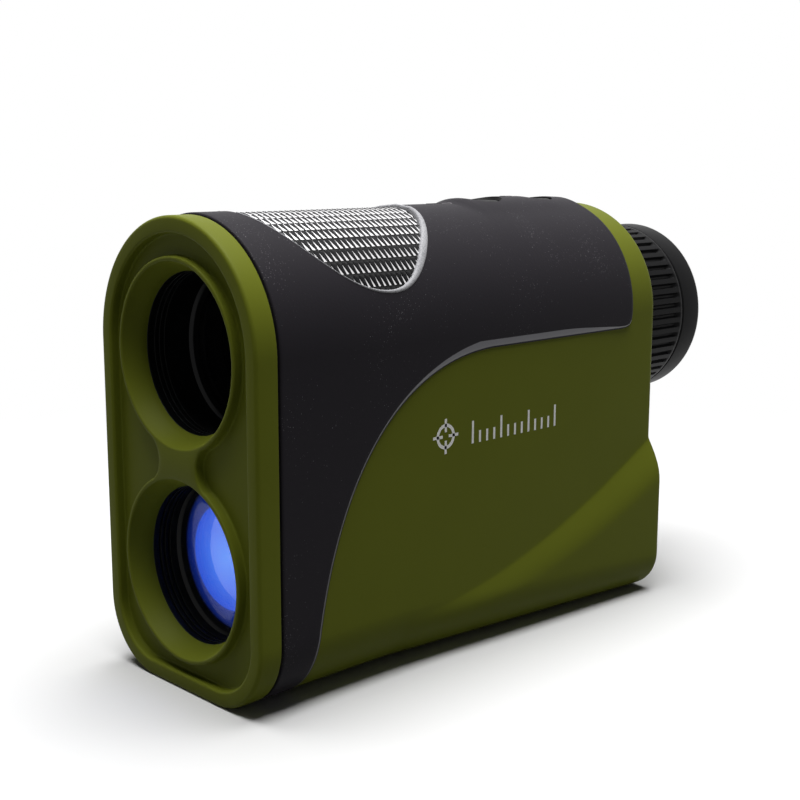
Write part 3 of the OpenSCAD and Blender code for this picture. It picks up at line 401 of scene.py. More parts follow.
class RANGEFINDER_OT_front_plate(bpy.types.Operator):
    """Front plate: rim, sunken floor, and two window rings joined by a web"""
    bl_idname = "rangefinder.front_plate"
    bl_label = "Front plate"

    def execute(self, context):
        c, f = in_mm(context.scene.rangefinder_casing), in_mm(context.scene.rangefinder_front)
        q, lip, edge, foot = Q_RIGHT, f.lip, 0.45, 0.35
        around = lambda inset, y: ring_row(outline_at(c, inset, q), y)
        eight = lambda grow, y: ring_row(eight_at(f, grow, q), y)
        rows = [eight(0, f.thick)] + [around(0.25 * (1 - t), f.thick - 0.25 * s)
                                      for t, s in ((0, 0), (0.6, 0.1), (0.9, 0.4), (1, 1))]
        rows += [around(0, y) for y in (3, 2)]
        rows += [around(lip * t, lip * s) for t, s in quarter(8)]
        rows += [around(f.rim - edge * (1 - t), edge * (1 - s)) for t, s in swell(6)]
        rows += [around(f.rim + foot * t, f.floor - foot * s) for t, s in quarter(5)]
        ends = around(f.rim + foot, f.floor), eight(foot, f.floor)
        rows += [ends[0] + (ends[1] - ends[0]) * t for t in (0.25, 0.5, 0.75)]
        rows += [eight(foot * (1 - t), f.floor - foot * (1 - s)) for t, s in swell(5)]
        lid = 0.3
        rows += [eight(-lid * t, lid * s) for t, s in quarter(5)]
        shells = [surface(np.stack(rows), wrap_cols=True)]
        for z, side in ((f.upper_z, 1), (f.lower_z, -1)):
            shells.append(self.window(f, z, side, lid))
        piece("front_plate", join(shells), "casing", "moulded_green_abs", ["front_bezel"])
        return {"FINISHED"}

    def window(self, f, z, side, lid):
        """One window: rows from its half of the web's face over the lip and down the funnel."""
        q = Q_RIGHT[Q_RIGHT <= 1 + 1e-9]
        touch = math.atan2((f.upper_z - f.lower_z) / 2, f.web + f.notch)
        arc = q <= 0.9 + 1e-9
        wide = np.where(arc, math.pi / 2 - q / 0.9 * (math.pi / 2 + touch), 0)
        wide[~arc] = -touch - np.linspace(0, 0.22, (~arc).sum() + 1)[1:]
        middle = np.linspace(-1, 1, 9)[1:-1]
        low_turn = -math.pi / 2 + middle * (math.pi / 2 + wide[-1])
        turn = np.concatenate([wide, low_turn[::-1], math.pi - wide[::-1]])[:-1]

        def half(grow, y):
            x, h = eight_at(f, grow, np.minimum(q, 1) if side > 0 else 2 - np.minimum(q, 1))
            x = np.concatenate([x, middle[::-1] * x[-1], -x[::-1]])[:-1]
            h = np.concatenate([h, np.full(len(middle), h[-1]), h[::-1]])[:-1]
            return row_at(x, y, h)

        ring = lambda r, y: row_at(r * np.cos(turn), y, z + side * r * np.sin(turn))

        soft = 0.3
        rows = [half(-lid, 0)]
        rows += [ring(f.funnel + soft * (1 - t), soft * (1 - s)) for t, s in swell(5)]
        rows += [ring(f.funnel + (f.bore - f.funnel) * t, soft + (f.thick - 0.4 - soft) * t)
                 for t in (0.33, 0.67, 1)]
        rows += [ring(f.bore, f.thick), half(0, f.thick)]
        return surface(np.stack(rows), wrap_cols=True)


# ---- casing ----------------------------------------------------------------------------

SEAM = 0.03         # half the parting line between the casing halves
SEAT = 0.8          # depth of the cover's seat in the casing
HINGE_Z = 5.4       # height of the battery door's pin
DOOR_T = 1.8        # thickness of the battery door
EYEPIECE_R = 14.05  # radius of the eyepiece's seat in the rear face


def rear_inset(c, y):
    """Inset near the rear edge for its rounding: the sagitta of a quarter circle."""
    return c.rear - np.sqrt(np.maximum(0, c.rear ** 2 - np.maximum(0, y - c.long + c.rear) ** 2))


def section(c, y):
    """Right half of the casing's section at each y, from the crown down to the base: quarter
    circle, side, crease, flared heel and base. The flare is a sine ramp below the crease."""
    u = np.clip((y - c.flare_start) / (c.long - c.flare_start), 0, 1)[:, None]
    crease = c.flare_low + (c.flare_top - c.flare_low) * u ** 1.75
    side = c.half_w - c.step
    low_r = (c.base_r - c.step) * (1 - u) + c.heel_r * u
    turn = np.linspace(0, math.pi / 2, 45)[None, :] + 0 * u
    turn[:, 0] = math.asin(SEAM / side)
    fraction = np.linspace(0, 1, 52)[None, 1:]
    z = np.concatenate([
        c.crown + (crease + 2.5 - c.crown) * fraction,
        crease + 2.5 - 6 * np.linspace(0, 1, 25)[None, 1:],
        (crease - 3.5) * (1 - np.linspace(0, 1, 45)[None, 1:]) ** 2,
    ], axis=1)
    under = np.maximum(low_r - z, 0)
    drop = crease - z
    drop = (drop + np.sqrt(drop ** 2 + c.crease ** 2)) / 2
    push = c.flare * u * np.sin(math.pi / 2 * np.minimum(1, drop / (3 + 5 * u)))
    x = side - (low_r - np.sqrt(np.maximum(0, low_r ** 2 - under ** 2))) + push - 0.005
    base = x[:, -1:] + (SEAM - x[:, -1:]) * np.array([[0.3, 0.6, 0.9, 0.992, 1]])
    x = np.concatenate([side * np.sin(turn), x, base], axis=1)
    z = np.concatenate([c.crown + side * np.cos(turn), z, 0 * base], axis=1)
    return np.stack([x, z], axis=-1)


def under_cover(v, y, z):
    """1 well inside the rubber cover's side view, 0 outside it, by the distance to its edge."""
    edge = cover_edge(v)
    start, leg = edge[:-1], edge[1:] - edge[:-1]
    p = np.stack([y, z], axis=-1)[..., None, :]
    along = np.clip(((p - start) * leg).sum(-1) / (leg ** 2).sum(-1), 0, 1)
    gap = np.sqrt((((start + leg * along[..., None]) - p) ** 2).sum(-1))
    near = gap.argmin(-1)
    off = np.take_along_axis(p - start, near[..., None, None], axis=-2)[..., 0, :]
    way = leg[near]
    inside = way[..., 0] * off[..., 1] - way[..., 1] * off[..., 0] < 0
    return np.clip((np.where(inside, gap.min(-1), 0) - 0.7) / 1.3, 0, 1)


def casing_shell(c, v):
    """Right half of the casing: the outer skin from front to rear, across the rear face to the
    parting line, back over the inner face and the inner wall, closed by two flat seam faces."""
    turn = np.linspace(0, math.pi / 2, 9)[1:]
    y = np.concatenate([np.linspace(c.start, c.long - c.rear, 150),
                        c.long - c.rear + c.rear * np.sin(turn)])
    flat = section(c, y)
    outward = lambda way: np.stack([-way[..., 1], way[..., 0]], axis=-1)
    covered = under_cover(v, y[:, None] + 0 * flat[..., 0], flat[..., 1])
    depth = rear_inset(c, y)[:, None] + SEAT * covered
    depth[:, [0, -1]] += 0.1
    skin = flat - outward(direction(flat, 1)) * depth[..., None]
    skin[:, [0, -1], 0] = SEAM
    outer = np.stack([skin[..., 0], y[:, None] + 0 * skin[..., 0], skin[..., 1]], axis=-1)
    first = section(c, np.array([c.start]))
    wall = 2
    inner = first[0] - wall * outward(direction(first, 1)[0])
    inner[[0, -1], 0] = SEAM
    last = outer[-1]
    at = lambda x, y, z: np.stack([x, y + 0 * x, z], axis=-1)
    seam = np.full(len(last), SEAM)
    rows = [at(np.minimum(last[:, 0], 4 * SEAM), c.long, last[:, 2]),
            at(seam, c.long - 0.1, last[:, 2]),
            at(seam, c.long - wall, inner[:, 1]), at(inner[:, 0], c.long - wall, inner[:, 1]),
            at(inner[:, 0], c.start, inner[:, 1])]
    rows = np.concatenate([outer, np.stack(rows)])
    return join([surface(rows, wrap_rows=True), fill(rows[:, 0]), fill(rows[:, -1])])


def door_loop(grow, bottom, n=9):
    """Loop (x, z) of the battery door: a rectangle with its two upper corners rounded."""
    half, top, r = 11 + grow, 26.7 + grow, 3 + grow
    turn = np.linspace(0, math.pi / 2, n)
    x = np.concatenate([half - r + r * np.cos(turn), -half + r - r * np.sin(turn), [-half, half]])
    z = np.concatenate([top - r + r * np.sin(turn), top - r + r * np.cos(turn), [bottom, bottom]])
    return x, z


def along(loop, y0, y1):
    """Closed prism: a loop (x, z) carried in y."""
    rows = np.stack([row_at(loop[0], y, loop[1]) for y in (y0, y1)])
    return join([surface(rows, wrap_cols=True), fill(rows[0]), fill(rows[1])])


def button_wells(v):
    """Round cutters for the two buttons, with their running gap."""
    wells = (v.power_y, v.power_r), (v.mode_y, v.mode_r)
    return [rod((0, y, 0), "z", r + 0.25, 60, 80) for y, r in wells]


class RANGEFINDER_OT_casing(bpy.types.Operator):
    """Left and right casing halves with their openings"""
    bl_idname = "rangefinder.casing"
    bl_label = "Casing halves"

    def execute(self, context):
        c, v = in_mm(context.scene.rangefinder_casing), in_mm(context.scene.rangefinder_cover)
        half = casing_shell(c, v)
        eye_z = in_mm(context.scene.rangefinder_eyepiece).axis
        y, end = c.long - DOOR_T, c.long + 2
        openings = [
            [rod((0, 0, eye_z), "y", EYEPIECE_R, 85, end)],
            [along(door_loop(0.25, HINGE_Z), c.long - 2.5, end)] + button_wells(v),
            [rod((0, y, HINGE_Z), "x", 2.15, -11.25, 11.25)],
            [slab((-11.25, y, HINGE_Z - 2.15), (11.25, end, HINGE_Z + 0.02))],
            [rod((0, c.long + 2.6, 27.3), "x", 4, -5, 5, 64)],
            [rod((0, 0, 14.5), "y", 8.4, c.long - 6, c.long - 2)],
            [slab((-4.4, c.long - 6, 23.95), (4.4, c.long - 2, 25.4))],
        ]
        spots = [(27, 36.3), (52.5, 34), (53.5, 7.5), (87.5, 31)]
        left_only = [[rod((0, sy, sz), "x", 2.05, -26, -18.3, 32) for sy, sz in spots],
                     [slab((-26, 77.1, 30.6), (-15.8, 83.9, 37.4))]]
        for name, shell, node, more in (("right_casing", half, "right_shell", []),
                                        ("left_casing", mirrored(half), "left_shell", left_only)):
            made = raw(name, shell)
            cut(made, openings + more)
            dress(made, "casing", ["moulded_green_abs"], [node], sharp=28)
        return {"FINISHED"}


# ---- grip cover --------------------------------------------------------------------------

def cubic(p, n):
    """n + 1 points of a cubic curve through its four control points."""
    t, p = np.linspace(0, 1, n + 1)[:, None], np.asarray(p, float)
    return (1 - t) ** 3 * p[0] + 3 * (1 - t) ** 2 * t * p[1] + 3 * (1 - t) * t ** 2 * p[2] + t ** 3 * p[3]


def cover_edge(v):
    """Side view (y, z) of the cover's edge, from the crown down its rear end, forward along the
    level part and down the long sweep to the base."""
    turn_y, r = v.rear - 2.4, 4
    return np.concatenate([
        [[v.rear, 79], [v.rear - 0.8, 72], [v.rear - 1.5, 66], [v.rear - 1.9, 60.7]],
        cubic([(turn_y + 0.2, v.edge_z + r), (turn_y, v.edge_z + 0.5), (turn_y, v.edge_z),
               (turn_y - r, v.edge_z)], 12),
        cubic([(v.level, v.edge_z), (v.foot + 11.4, v.edge_z - 0.5), (v.foot + 1.6, v.edge_z / 2),
               (v.foot, 0)], 60),
    ])


def down(c, z):
    """Distance down the section from the crown to height z: arc, side, arc."""
    side_r, low_r = c.half_w - c.step, c.base_r - c.step
    top, low = side_r * math.pi / 2, low_r
    on_top = side_r * np.arccos(np.clip((z - c.crown) / (c.half_w + 0.1), -1, 1))
    on_side = top + c.crown - z
    on_low = top + c.crown - c.base_r - 0.1 + low * np.arcsin(np.clip(1 - z / (c.base_r + 0.1), 0, 1))
    return np.where(z > c.crown, on_top, np.where(z > c.base_r + 0.1, on_side, on_low))


def panel_reach(v, c, turn, y):
    """Distance of the button panel's surface from the crown's axis: a circle of its own radius
    whose crown follows a ramp up, a level stretch and a slight fall."""
    top = np.interp(y, [58.9, 59.8, 60.8, v.power_y - 2.5, v.power_y - 1, v.mode_y, v.rear],
                    [73.9, 74.6, 75.1, 75.22, v.panel_z - 0.04, 75.13, 74.7])
    centre = top - v.panel_r - c.crown
    inner = np.maximum(v.panel_r ** 2 - (centre * np.sin(turn)) ** 2, 0)
    return centre * np.cos(turn) + np.sqrt(inner)


def on_cover(c, v, y, a, h):
    """Point at depth y, distance a down the section from the crown and height h over the casing:
    arc, side, arc and base, with the button panel raised over the crown by a soft maximum."""
    side_r, low_r = c.half_w - c.step, c.base_r - c.step
    top, straight, low = side_r * math.pi / 2, c.crown - c.base_r, low_r * math.pi / 2
    sign, a = np.sign(a), np.abs(a)
    turn = np.clip(a / side_r, 0, math.pi / 2)
    body = side_r + h
    reach = panel_reach(v, c, turn, y) - v.proud + h - 0.07
    body = np.where(a < top, (body + reach + np.sqrt((body - reach) ** 2 + 0.35)) / 2, body)
    f = np.clip((a - top) / straight, 0, 1)
    low_turn = np.clip((a - top - straight) / low, 0, 1) * math.pi / 2
    flat = np.clip((a - top - straight - low) / (c.half_w - c.base_r), 0, 1)
    r = low_r + h
    x = body * np.sin(turn) - r * (1 - np.cos(low_turn))
    x = np.where(a > top + straight + low, (c.half_w - c.base_r) * (1 - flat), x)
    z = c.crown + body * np.cos(turn)
    z = np.where(a > top, c.crown + (r - c.crown) * f, z)
    z = np.where(a > top + straight, r * (1 - np.sin(low_turn)), z)
    return np.stack([x * sign, y + 0 * x, z], axis=-1)


def cover_shell(c, v):
    """Closed shell of the cover. In the unrolled plane (depth, distance down the section) its
    outer face runs straight from the front edge to a point of the far edge, from a little nearer
    the crown where the far edge is level, so that no line leaves the cover. Rows near both ends
    bend down over a rounded edge. The far edge has a smooth bevel, measured square to the edge."""
    edge = cover_edge(v)
    edge = edge[edge[:, 1] < 73.9]
    edge = np.concatenate([[[v.rear - 0.5, 74.4]], edge])
    far = np.column_stack([edge[:, 0], down(c, edge[:, 1])])
    far[0, 1] = 0
    whole = (c.half_w - c.step) * math.pi / 2 + c.crown - c.base_r \
        + (c.base_r - c.step) * math.pi / 2 + c.half_w - c.base_r
    far = np.concatenate([far, [[v.foot, whole]]])
    s = np.linspace(0, 1, 260)
    far = evenly(far, s)
    lean = 0.4 * np.clip((far[:, 0] - 28) / 22, 0, 1) + 0.25 * np.clip((far[:, 0] - v.level) / 38, 0, 1)
    near = np.column_stack([0 * s + c.start, far[:, 1] * (1 - lean)])
    s_far = np.concatenate([far[::-1] * [1, -1], far[1:]])
    s_near = np.concatenate([near[::-1] * [1, -1], near[1:]])
    span = np.linalg.norm(s_far - s_near, axis=1)
    low = -0.75
    level = np.clip((s_far[:, 0] - 24) / 30, 0, 1) * np.clip((v.rear - 3 - s_far[:, 0]) / 14, 0, 1)
    way = direction(s_far, 0)
    ray = (s_far - s_near) / span[:, None]
    slant = np.maximum(np.abs(way[:, 0] * ray[:, 1] - way[:, 1] * ray[:, 0]), 0.12)
    bevel = (0.65 + 0.75 * np.sin(math.pi / 2 * level) ** 2) / slant
    arcs = np.linspace(0, math.pi / 2, 6)
    rows = [(0, low)] + [(0.3 * (1 - math.cos(a)), v.proud - 0.3 * (1 - math.sin(a))) for a in arcs]
    rows = [(d / span, h) for d, h in rows]
    first, last = 0.3 / span, 1 - 2 * bevel / span
    rows += [(first + (last - first) * t, v.proud) for t in np.linspace(0, 1, 90)[1:]]
    rows += [(1 - d / span, v.proud - h) for d, h in ((1.2 * bevel, 0), (bevel, 0.03))]
    slope = len(rows) - 1
    rows += [(1 - d / span, v.proud - h)
             for d, h in ((0.6 * bevel, 0.14), (0.3 / slant, 0.24), (0, 0.47))]
    rows += [(1 + 0 * span, low)] + [(t + 0 * span, low) for t in np.linspace(1, 0, 24)[1:-1]]
    points = []
    for t, h in rows:
        t = (t + 0 * span)[:, None]
        p = s_near + (s_far - s_near) * t
        points.append(on_cover(c, v, p[:, 0], p[:, 1], h))
    shell = surface(np.stack(points), wrap_rows=True)
    # the two bevel rows along the cover's lower edge take the third finish, a lighter grey painted
    # reflection
    smooth = np.abs(s_far[1:, 1]) > down(c, v.edge_z + 1)
    marks = np.stack([1 + smooth * (slope <= i < slope + 2) for i in range(len(rows))])
    return shell, marks.ravel().tolist()


def pad_edge(v, n=24):
    """Side view (y, z) of the finger pad's edge, from its front tip down and up to its rear."""
    top = 74.2
    mid = (v.pad_front + v.pad_rear) / 2 - 0.4
    fall = cubic([(v.pad_front, top), (v.pad_front + 2.2, top - 3.8), (mid - 9, v.pad_low),
                  (mid, v.pad_low)], n)
    rise = cubic([(mid, v.pad_low), (mid + 6.5, v.pad_low), (v.pad_rear - 9, top - 6.2),
                  (v.pad_rear, top)], n)
    return np.concatenate([fall, rise[1:]])


def pad_prism(v, shift=0.0, lift=0.0):
    """Closed prism across the pad's side view, moved forward by shift and up by lift."""
    edge = pad_edge(v) + [-shift, lift]
    above = 78.2
    loop = np.concatenate([[[edge[0, 0], above]], edge, [[edge[-1, 0], above]]])
    return across(loop, -24, 24)


class RANGEFINDER_OT_grip_cover(bpy.types.Operator):
    """Rubber grip cover with the button panel and its marks"""
    bl_idname = "rangefinder.grip_cover"
    bl_label = "Grip cover"

    def execute(self, context):
        c, v = in_mm(context.scene.rangefinder_casing), in_mm(context.scene.rangefinder_cover)
        # the third finish, lighter grey on the lower bevel, is a painted reflection
        finishes = ["smooth_pocket_rubber", "moulded_grip_rubber", "smooth_rubber_edge"]
        made = raw("rubber_cover", *cover_shell(c, v), finishes)
        ball = lambda y, r: turned([(r * math.sin(a), -r * math.cos(a)) for a in
                                    np.linspace(0, math.pi, 49)], (0, y, v.panel_z + 3.2), "z", 96,
                                   closed=False)
        # the faces that the pad's pocket and the button dishes cut take the first finish, near black as
        # painted shade
        cut(made, [[pad_prism(v)], button_wells(v),
                   [ball(v.power_y, v.power_r + 1.8), ball(v.mode_y, v.mode_r + 1.8)]])
        dress(made, "casing", finishes, ["grip_cover"], sharp=32)
        self.marks(c, v)
        return {"FINISHED"}

    def marks(self, c, v):
        """Small raised marks on the panel: an open ring and a stroke at each button."""
        shells = []
        at = lambda y, a: on_cover(c, v, np.asarray(y, float), np.asarray(a, float), v.proud - 0.06)
        for y0, r in ((57.6, 1.5), (74.4, 1.1)):
            turn = np.linspace(0.5, 2 * math.pi - 0.5, 40)
            tube = np.linspace(0, 2 * math.pi, 9)[:-1]
            across_tube = r + 0.17 * np.cos(tube)[:, None] + 0 * turn
            p = at(y0 - across_tube * np.cos(turn), across_tube * np.sin(turn) + 1e-9)
            p[..., 2] += 0.13 * np.sin(tube)[:, None]
            shells.append(join([surface(p, wrap_rows=True), fill(p[:, 0]), fill(p[:, -1])]))
        half = 0.17
        for y0, y1 in ((53.6, 55.7), (55.3, 57.2), (72.8, 74.1)):
            loop = np.array([(y0, -half), (y1, -half), (y1, half), (y0, half)])
            low = at(loop[:, 0], loop[:, 1] + 1e-9) - [0, 0, 0.1]
            shells.append(join([surface(np.stack([low, low + [0, 0, 0.24]]), wrap_cols=True),
                                fill(low), fill(low + [0, 0, 0.24])]))
        piece("panel_marks", join(shells), "casing", "mark_grey_rubber")


class RANGEFINDER_OT_finger_pad(bpy.types.Operator):
    """Finger pad of small studs, and the bright rim behind it"""
    bl_idname = "rangefinder.finger_pad"
    bl_label = "Finger pad"

    def execute(self, context):
        c, v = in_mm(context.scene.rangefinder_casing), in_mm(context.scene.rangefinder_cover)
        self.pad(c, v)
        self.rim(c, v)
        return {"FINISHED"}

    def pad(self, c, v):
        """Rows of wedge-shaped studs on the crown. Each cell has nine points: its four corners,
        the wedge's raised point, the two ends of its low edge, and the foot below that edge."""
        side_r = c.half_w - c.step
        pitch, row, tall, floor, slant = v.stud, v.stud_row, 0.36, 0.1, 0.011
        ys = np.arange(v.pad_front - 14, v.pad_rear + 2, pitch)
        half = int(math.ceil(26 / row))
        ks = np.concatenate([-np.arange(1, half + 1)[::-1], np.arange(0, half)])
        y0, k = [g.ravel()[:, None] for g in np.meshgrid(ys, ks, indexing="ij")]
        right = k >= 0
        a_up = np.where(right, k, k + 1) * row
        way = np.where(right, 1, -1)
        # depth, distance down the crown and height of the nine points, as shares of the cell
        fy, fa, fh = np.array([
            (0, 0, 0), (1, 0, 0), (1, 1, 0), (0, 1, 0), (0.3, 0.1, 1), (0.1, 0.93, 0.15),
            (0.72, 0.93, 0.15), (0.1, 0.97, 0), (0.72, 0.97, 0)]).T[:, None]
        low = np.clip(np.abs(a_up) / 20, 0, 1)
        fy = np.where(fy == 0.72, 0.95 - 0.5 * low, fy)
        fa = np.where(fa == 0.1, 0.1 + 0.25 * low, fa)
        a = a_up + way * fa * row
        y = y0 + fy * pitch + slant * a ** 2
        reach = side_r + floor + tall * fh
        turn = a / side_r
        points = np.stack([reach * np.sin(turn), y, c.crown + reach * np.cos(turn)], axis=-1)
        cell = [[4, 6, 5], [4, 5, 7], [0, 4, 7], [4, 8, 6], [5, 6, 8, 7], [0, 1, 4], [0, 7, 3], [4, 1, 8],
                [1, 2, 8], [7, 8, 2, 3]]
        # the forward ramp face takes the foil, the two front side faces a grey painted shade, and the far
        # facets with the grooves the black, which on the facets is painted shade
        mark = [0, 1, 1] + [2] * 7
        faces = [[9 * n + i for i in face] for n in range(len(points)) for face in cell]
        marks = mark * len(points)
        top = points.reshape(-1, 3), faces
        grid_y, grid_a = np.meshgrid(np.append(ys, ys[-1] + pitch),
                                     np.arange(-half, half + 1) * row, indexing="ij")
        grid_y = grid_y + slant * grid_a ** 2
        place = lambda r: np.stack([r * np.sin(grid_a / side_r), grid_y,
                                    c.crown + r * np.cos(grid_a / side_r)], axis=-1)
        root, tray_low, tray_high = 0.78, 0.75, 0.5
        bottom, crest = place(side_r - root), place(side_r + floor)
        shell = join([top, surface(bottom)] + walls(bottom, crest))
        marks += [2] * (len(shell[1]) - len(marks))
        # the second and third finishes carry painted shade on the studs' faces
        finishes = ["stamped_foil", "stamped_foil_painted_shade", "pad_black_and_painted_shade"]
        made = raw("finger_pad_studs", shell, marks, finishes)
        cut(made, [[pad_prism(v, 0.9, 0.25)], [pad_prism(v, -0.02, 0.02)]], "INTERSECT")
        dress(made, "casing", finishes, ["finger_pad"], sharp=12)
        low_sheet, high_sheet = place(side_r - tray_low), place(side_r - tray_high)
        tray = [surface(low_sheet), surface(high_sheet)] + walls(low_sheet, high_sheet)
        made = raw("finger_pad_tray", join(tray))
        cut(made, [[pad_prism(v, -0.02, 0.02)]], "INTERSECT")
        dress(made, "casing", ["pad_black_and_painted_shade"])

    def rim(self, c, v):
        """Crescent that follows the pad's edge on both sides: its width grows from a thread at the
        front to its full width at the rear, and its section is a low rounded arch."""
        edge = pad_edge(v, 60)
        a = down(c, edge[:, 1] - 0.02)
        line = np.column_stack([edge[:, 0], a])
        line = line[line[:, 1] > 0.01]
        s = np.linspace(0, 1, 140)
        line = evenly(line, s)
        line[-1, 1] = 0
        way = direction(line, 0)
        inward = np.column_stack([way[:, 1], -way[:, 0]])
        width = 0.12 + (v.pad_rim - 0.12) * np.clip((s - 0.32) / 0.42, 0, 1) ** 1.6
        width *= 1 - 0.6 * np.clip((s - 0.66) / 0.34, 0, 1)
        tall = 0.1 + 0.12 * np.clip((s - 0.3) / 0.3, 0, 1)
        t = np.linspace(0, 1, 13)[:, None]
        arch = np.sin(math.pi * t) ** 0.4
        heights = [(k, v.proud - 0.15 + (tall + 0.15) * arch[k]) for k in range(13)]
        rows = []
        for k, h in heights + [(12, -0.7), (0, -0.7)]:
            q = line + inward * ((width + 0.12) * t[k, 0] - 0.06)[:, None]
            rows.append(on_cover(c, v, q[:, 0], np.maximum(q[:, 1], 1e-6), h))
        rows = np.stack(rows)
        rows[:, -1, 0] = 0
        half = join([surface(rows, wrap_rows=True), fill(rows[:, 0])])
        piece("pad_bright_rim", join([half, mirrored(half)]), "casing", "grained_light_abs",
              ["pad_rim"], sharp=50)


# ---- windows -----------------------------------------------------------------------------

class RANGEFINDER_OT_windows(bpy.types.Operator):
    """Turned barrels, retainers and lenses behind the two windows"""
    bl_idname = "rangefinder.windows"
    bl_label = "Windows"

    def execute(self, context):
        f = in_mm(context.scene.rangefinder_front)
        # the upper lens's finish is painted shade with a faint painted reflection; the lower one's disc
        # behind clear glass carries painted light
        for name, z, lens_y, back, dome, lens, glass in (
                ("upper", f.upper_z, 11.5, 16.5, 1.9, "objective_crown", "objective_glass_painted_shade"),
                ("lower", f.lower_z, 8.0, 13, 2.6, "receiver_lens", "clear_front_glass")):
            centre = (0, 0, z)
            bore, wall, front = f.bore - 0.04, f.bore + 1.36, f.thick - 0.35
            profile = [(bore, front, 0.1), (wall, front, 0), (wall, back, 0), (bore, back, 0)]
            for k in (2, 1, 0):
                y = 4.6 + 0.9 * k
                profile += [(bore, y + 0.45, 0.06), (bore + 0.3, y + 0.4, 0),
                            (bore + 0.3, y + 0.05, 0), (bore, y, 0.06)]
            sleeve = turned(filleted(profile, 3), centre)
            piece(f"{name}_sleeve", sleeve, "casing", "black_anodised_baffle")
            ring = filleted([(12, lens_y + 0.6, 0.3), (bore - 0.02, lens_y, 0.05),
                             (bore - 0.02, lens_y + 1.5, 0), (11.85, lens_y + 1.5, 0)], 4)
            node = "objective_retainer" if name == "upper" else "receiver_retainer"
            piece(f"{name}_retainer", turned(ring, centre), "casing", "black_anodised_baffle", [node])
            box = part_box(lens)
            apex, end = box[0][1] / MM - FRONT_Y, box[1][1] / MM - FRONT_Y
            r = 12.5
            sphere = (r ** 2 + dome ** 2) / (2 * dome)
            x = r * np.sin(np.linspace(0, math.pi / 2, 40))
            cap = apex + sphere - np.sqrt(sphere ** 2 - x ** 2)
            rear = end - 0.2 if name == "upper" else lens_y + 2.5
            profile = np.concatenate([np.column_stack([x, cap]), [[r, rear], [0, rear]]])
            piece(f"{name}_lens", turned(profile, centre, closed=False), "casing", glass, [lens])
            if name == "lower":
                # the filter disc carries the painted reflection, painted shade and painted glow of its
                # finish
                disc = [(0, rear + 0.1), (r, rear + 0.1), (r, end), (0, end)]
                piece("filter_disc", turned(disc, centre, closed=False), "casing", "blue_filter_painted_light")
        return {"FINISHED"}


# ---- eyepiece ----------------------------------------------------------------------------

class RANGEFINDER_OT_eyepiece(bpy.types.Operator):
    """Ribbed ring and eyecup"""
    bl_idname = "rangefinder.eyepiece"
    bl_label = "Eyepiece"

    def execute(self, context):
        e = in_mm(context.scene.rangefinder_eyepiece)
        self.ring(e)
        wall, r, o = 1.6, e.radius, e.opening
        cup = filleted([(o, e.cup, 0), (r, e.cup, 0.35), (r, e.end, 1.5), (r - 3.2, e.end, 0.6),
                        (r - 4, e.end - 1.2, 0.6), (o, e.cup + wall, 0.5)], 8)
        piece("rubber_eyecup", turned(cup, (0, 0, e.axis), count=144), "focus_ring",
              "satin_eyecup_rubber", ["eyecup"])
        return {"FINISHED"}

    def ring(self, e):
        """Ring whose radius falls by the rib depth in each groove. Across a rib the depth follows
        a raised cosine sharpened by a power; along the axis it fades at the smooth end."""
        per = 12
        turn = np.linspace(0, 2 * math.pi, e.ribs * per, endpoint=False)
        wave = 0.5 + 0.5 * np.cos(turn * e.ribs)
        groove = np.clip((0.5 - wave) / 0.34, 0, 1)
        groove = groove * groove * (3 - 2 * groove)
        end = e.cup - 0.05
        y = np.concatenate([e.start + 0.5 * (1 - np.cos(np.linspace(0, math.pi / 2, 5))),
                            np.linspace(e.start + 0.8, end - 2.2, 6), np.linspace(end - 2, end - 0.9, 8),
                            [end - 0.3, end - 0.08, end]])
        lip = 0.5 - np.sqrt(np.maximum(0, 0.25 - np.maximum(0, e.start + 0.5 - y) ** 2))
        tail = np.where(y > end - 0.3, (y - end + 0.3) * 0.7, 0)
        deep = np.clip((end - 1.0 - y) / 0.8, 0, 1)
        r = e.radius - lip[:, None] - tail[:, None] - e.rib * groove[None] * deep[:, None]
        make = lambda r, y: np.stack([r * np.sin(turn), y + 0 * turn, e.axis + r * np.cos(turn)], axis=-1)
        rows = [make(r[i], y[i]) for i in range(len(y))]
        rows += [make(13.2, end), make(13.2, 102.2), make(EYEPIECE_R, 102.0), make(EYEPIECE_R, e.start)]
        piece("ribbed_ring", surface(np.stack(rows), wrap_rows=True, wrap_cols=True), "focus_ring",
              "satin_eyecup_rubber", ["diopter_ring"], sharp=40)


# ---- buttons and battery door --------------------------------------------------------------

class RANGEFINDER_OT_buttons(bpy.types.Operator):
    """Power and mode buttons"""
    bl_idname = "rangefinder.buttons"
    bl_label = "Buttons"

    def execute(self, context):
        v = in_mm(context.scene.rangefinder_cover)
        for name, y, r, body in (("power_button", v.power_y, v.power_r, "power_key"),
                                 ("mode_button", v.mode_y, v.mode_r, "mode_key")):
            low, high = [corner[2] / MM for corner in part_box(name)]
            rim = np.linspace(0, math.pi / 2, 7)
            profile = [(0, low), (r + 1, low), (r + 1, low + 0.9), (r, low + 0.9)]
            profile += [(r - 0.6 + 0.6 * math.cos(a), high - 0.6 + 0.6 * math.sin(a)) for a in rim]
            dish = r - 0.9
            profile += [(x, high - 0.35 * (1 - (x / dish) ** 2)) for x in np.linspace(dish, 0, 12)]
            shell = turned(profile, (0, y, 0), "z", 72, closed=False)
            piece(f"{name}_cap", shell, body, "button_silicone", [name])
        return {"FINISHED"}


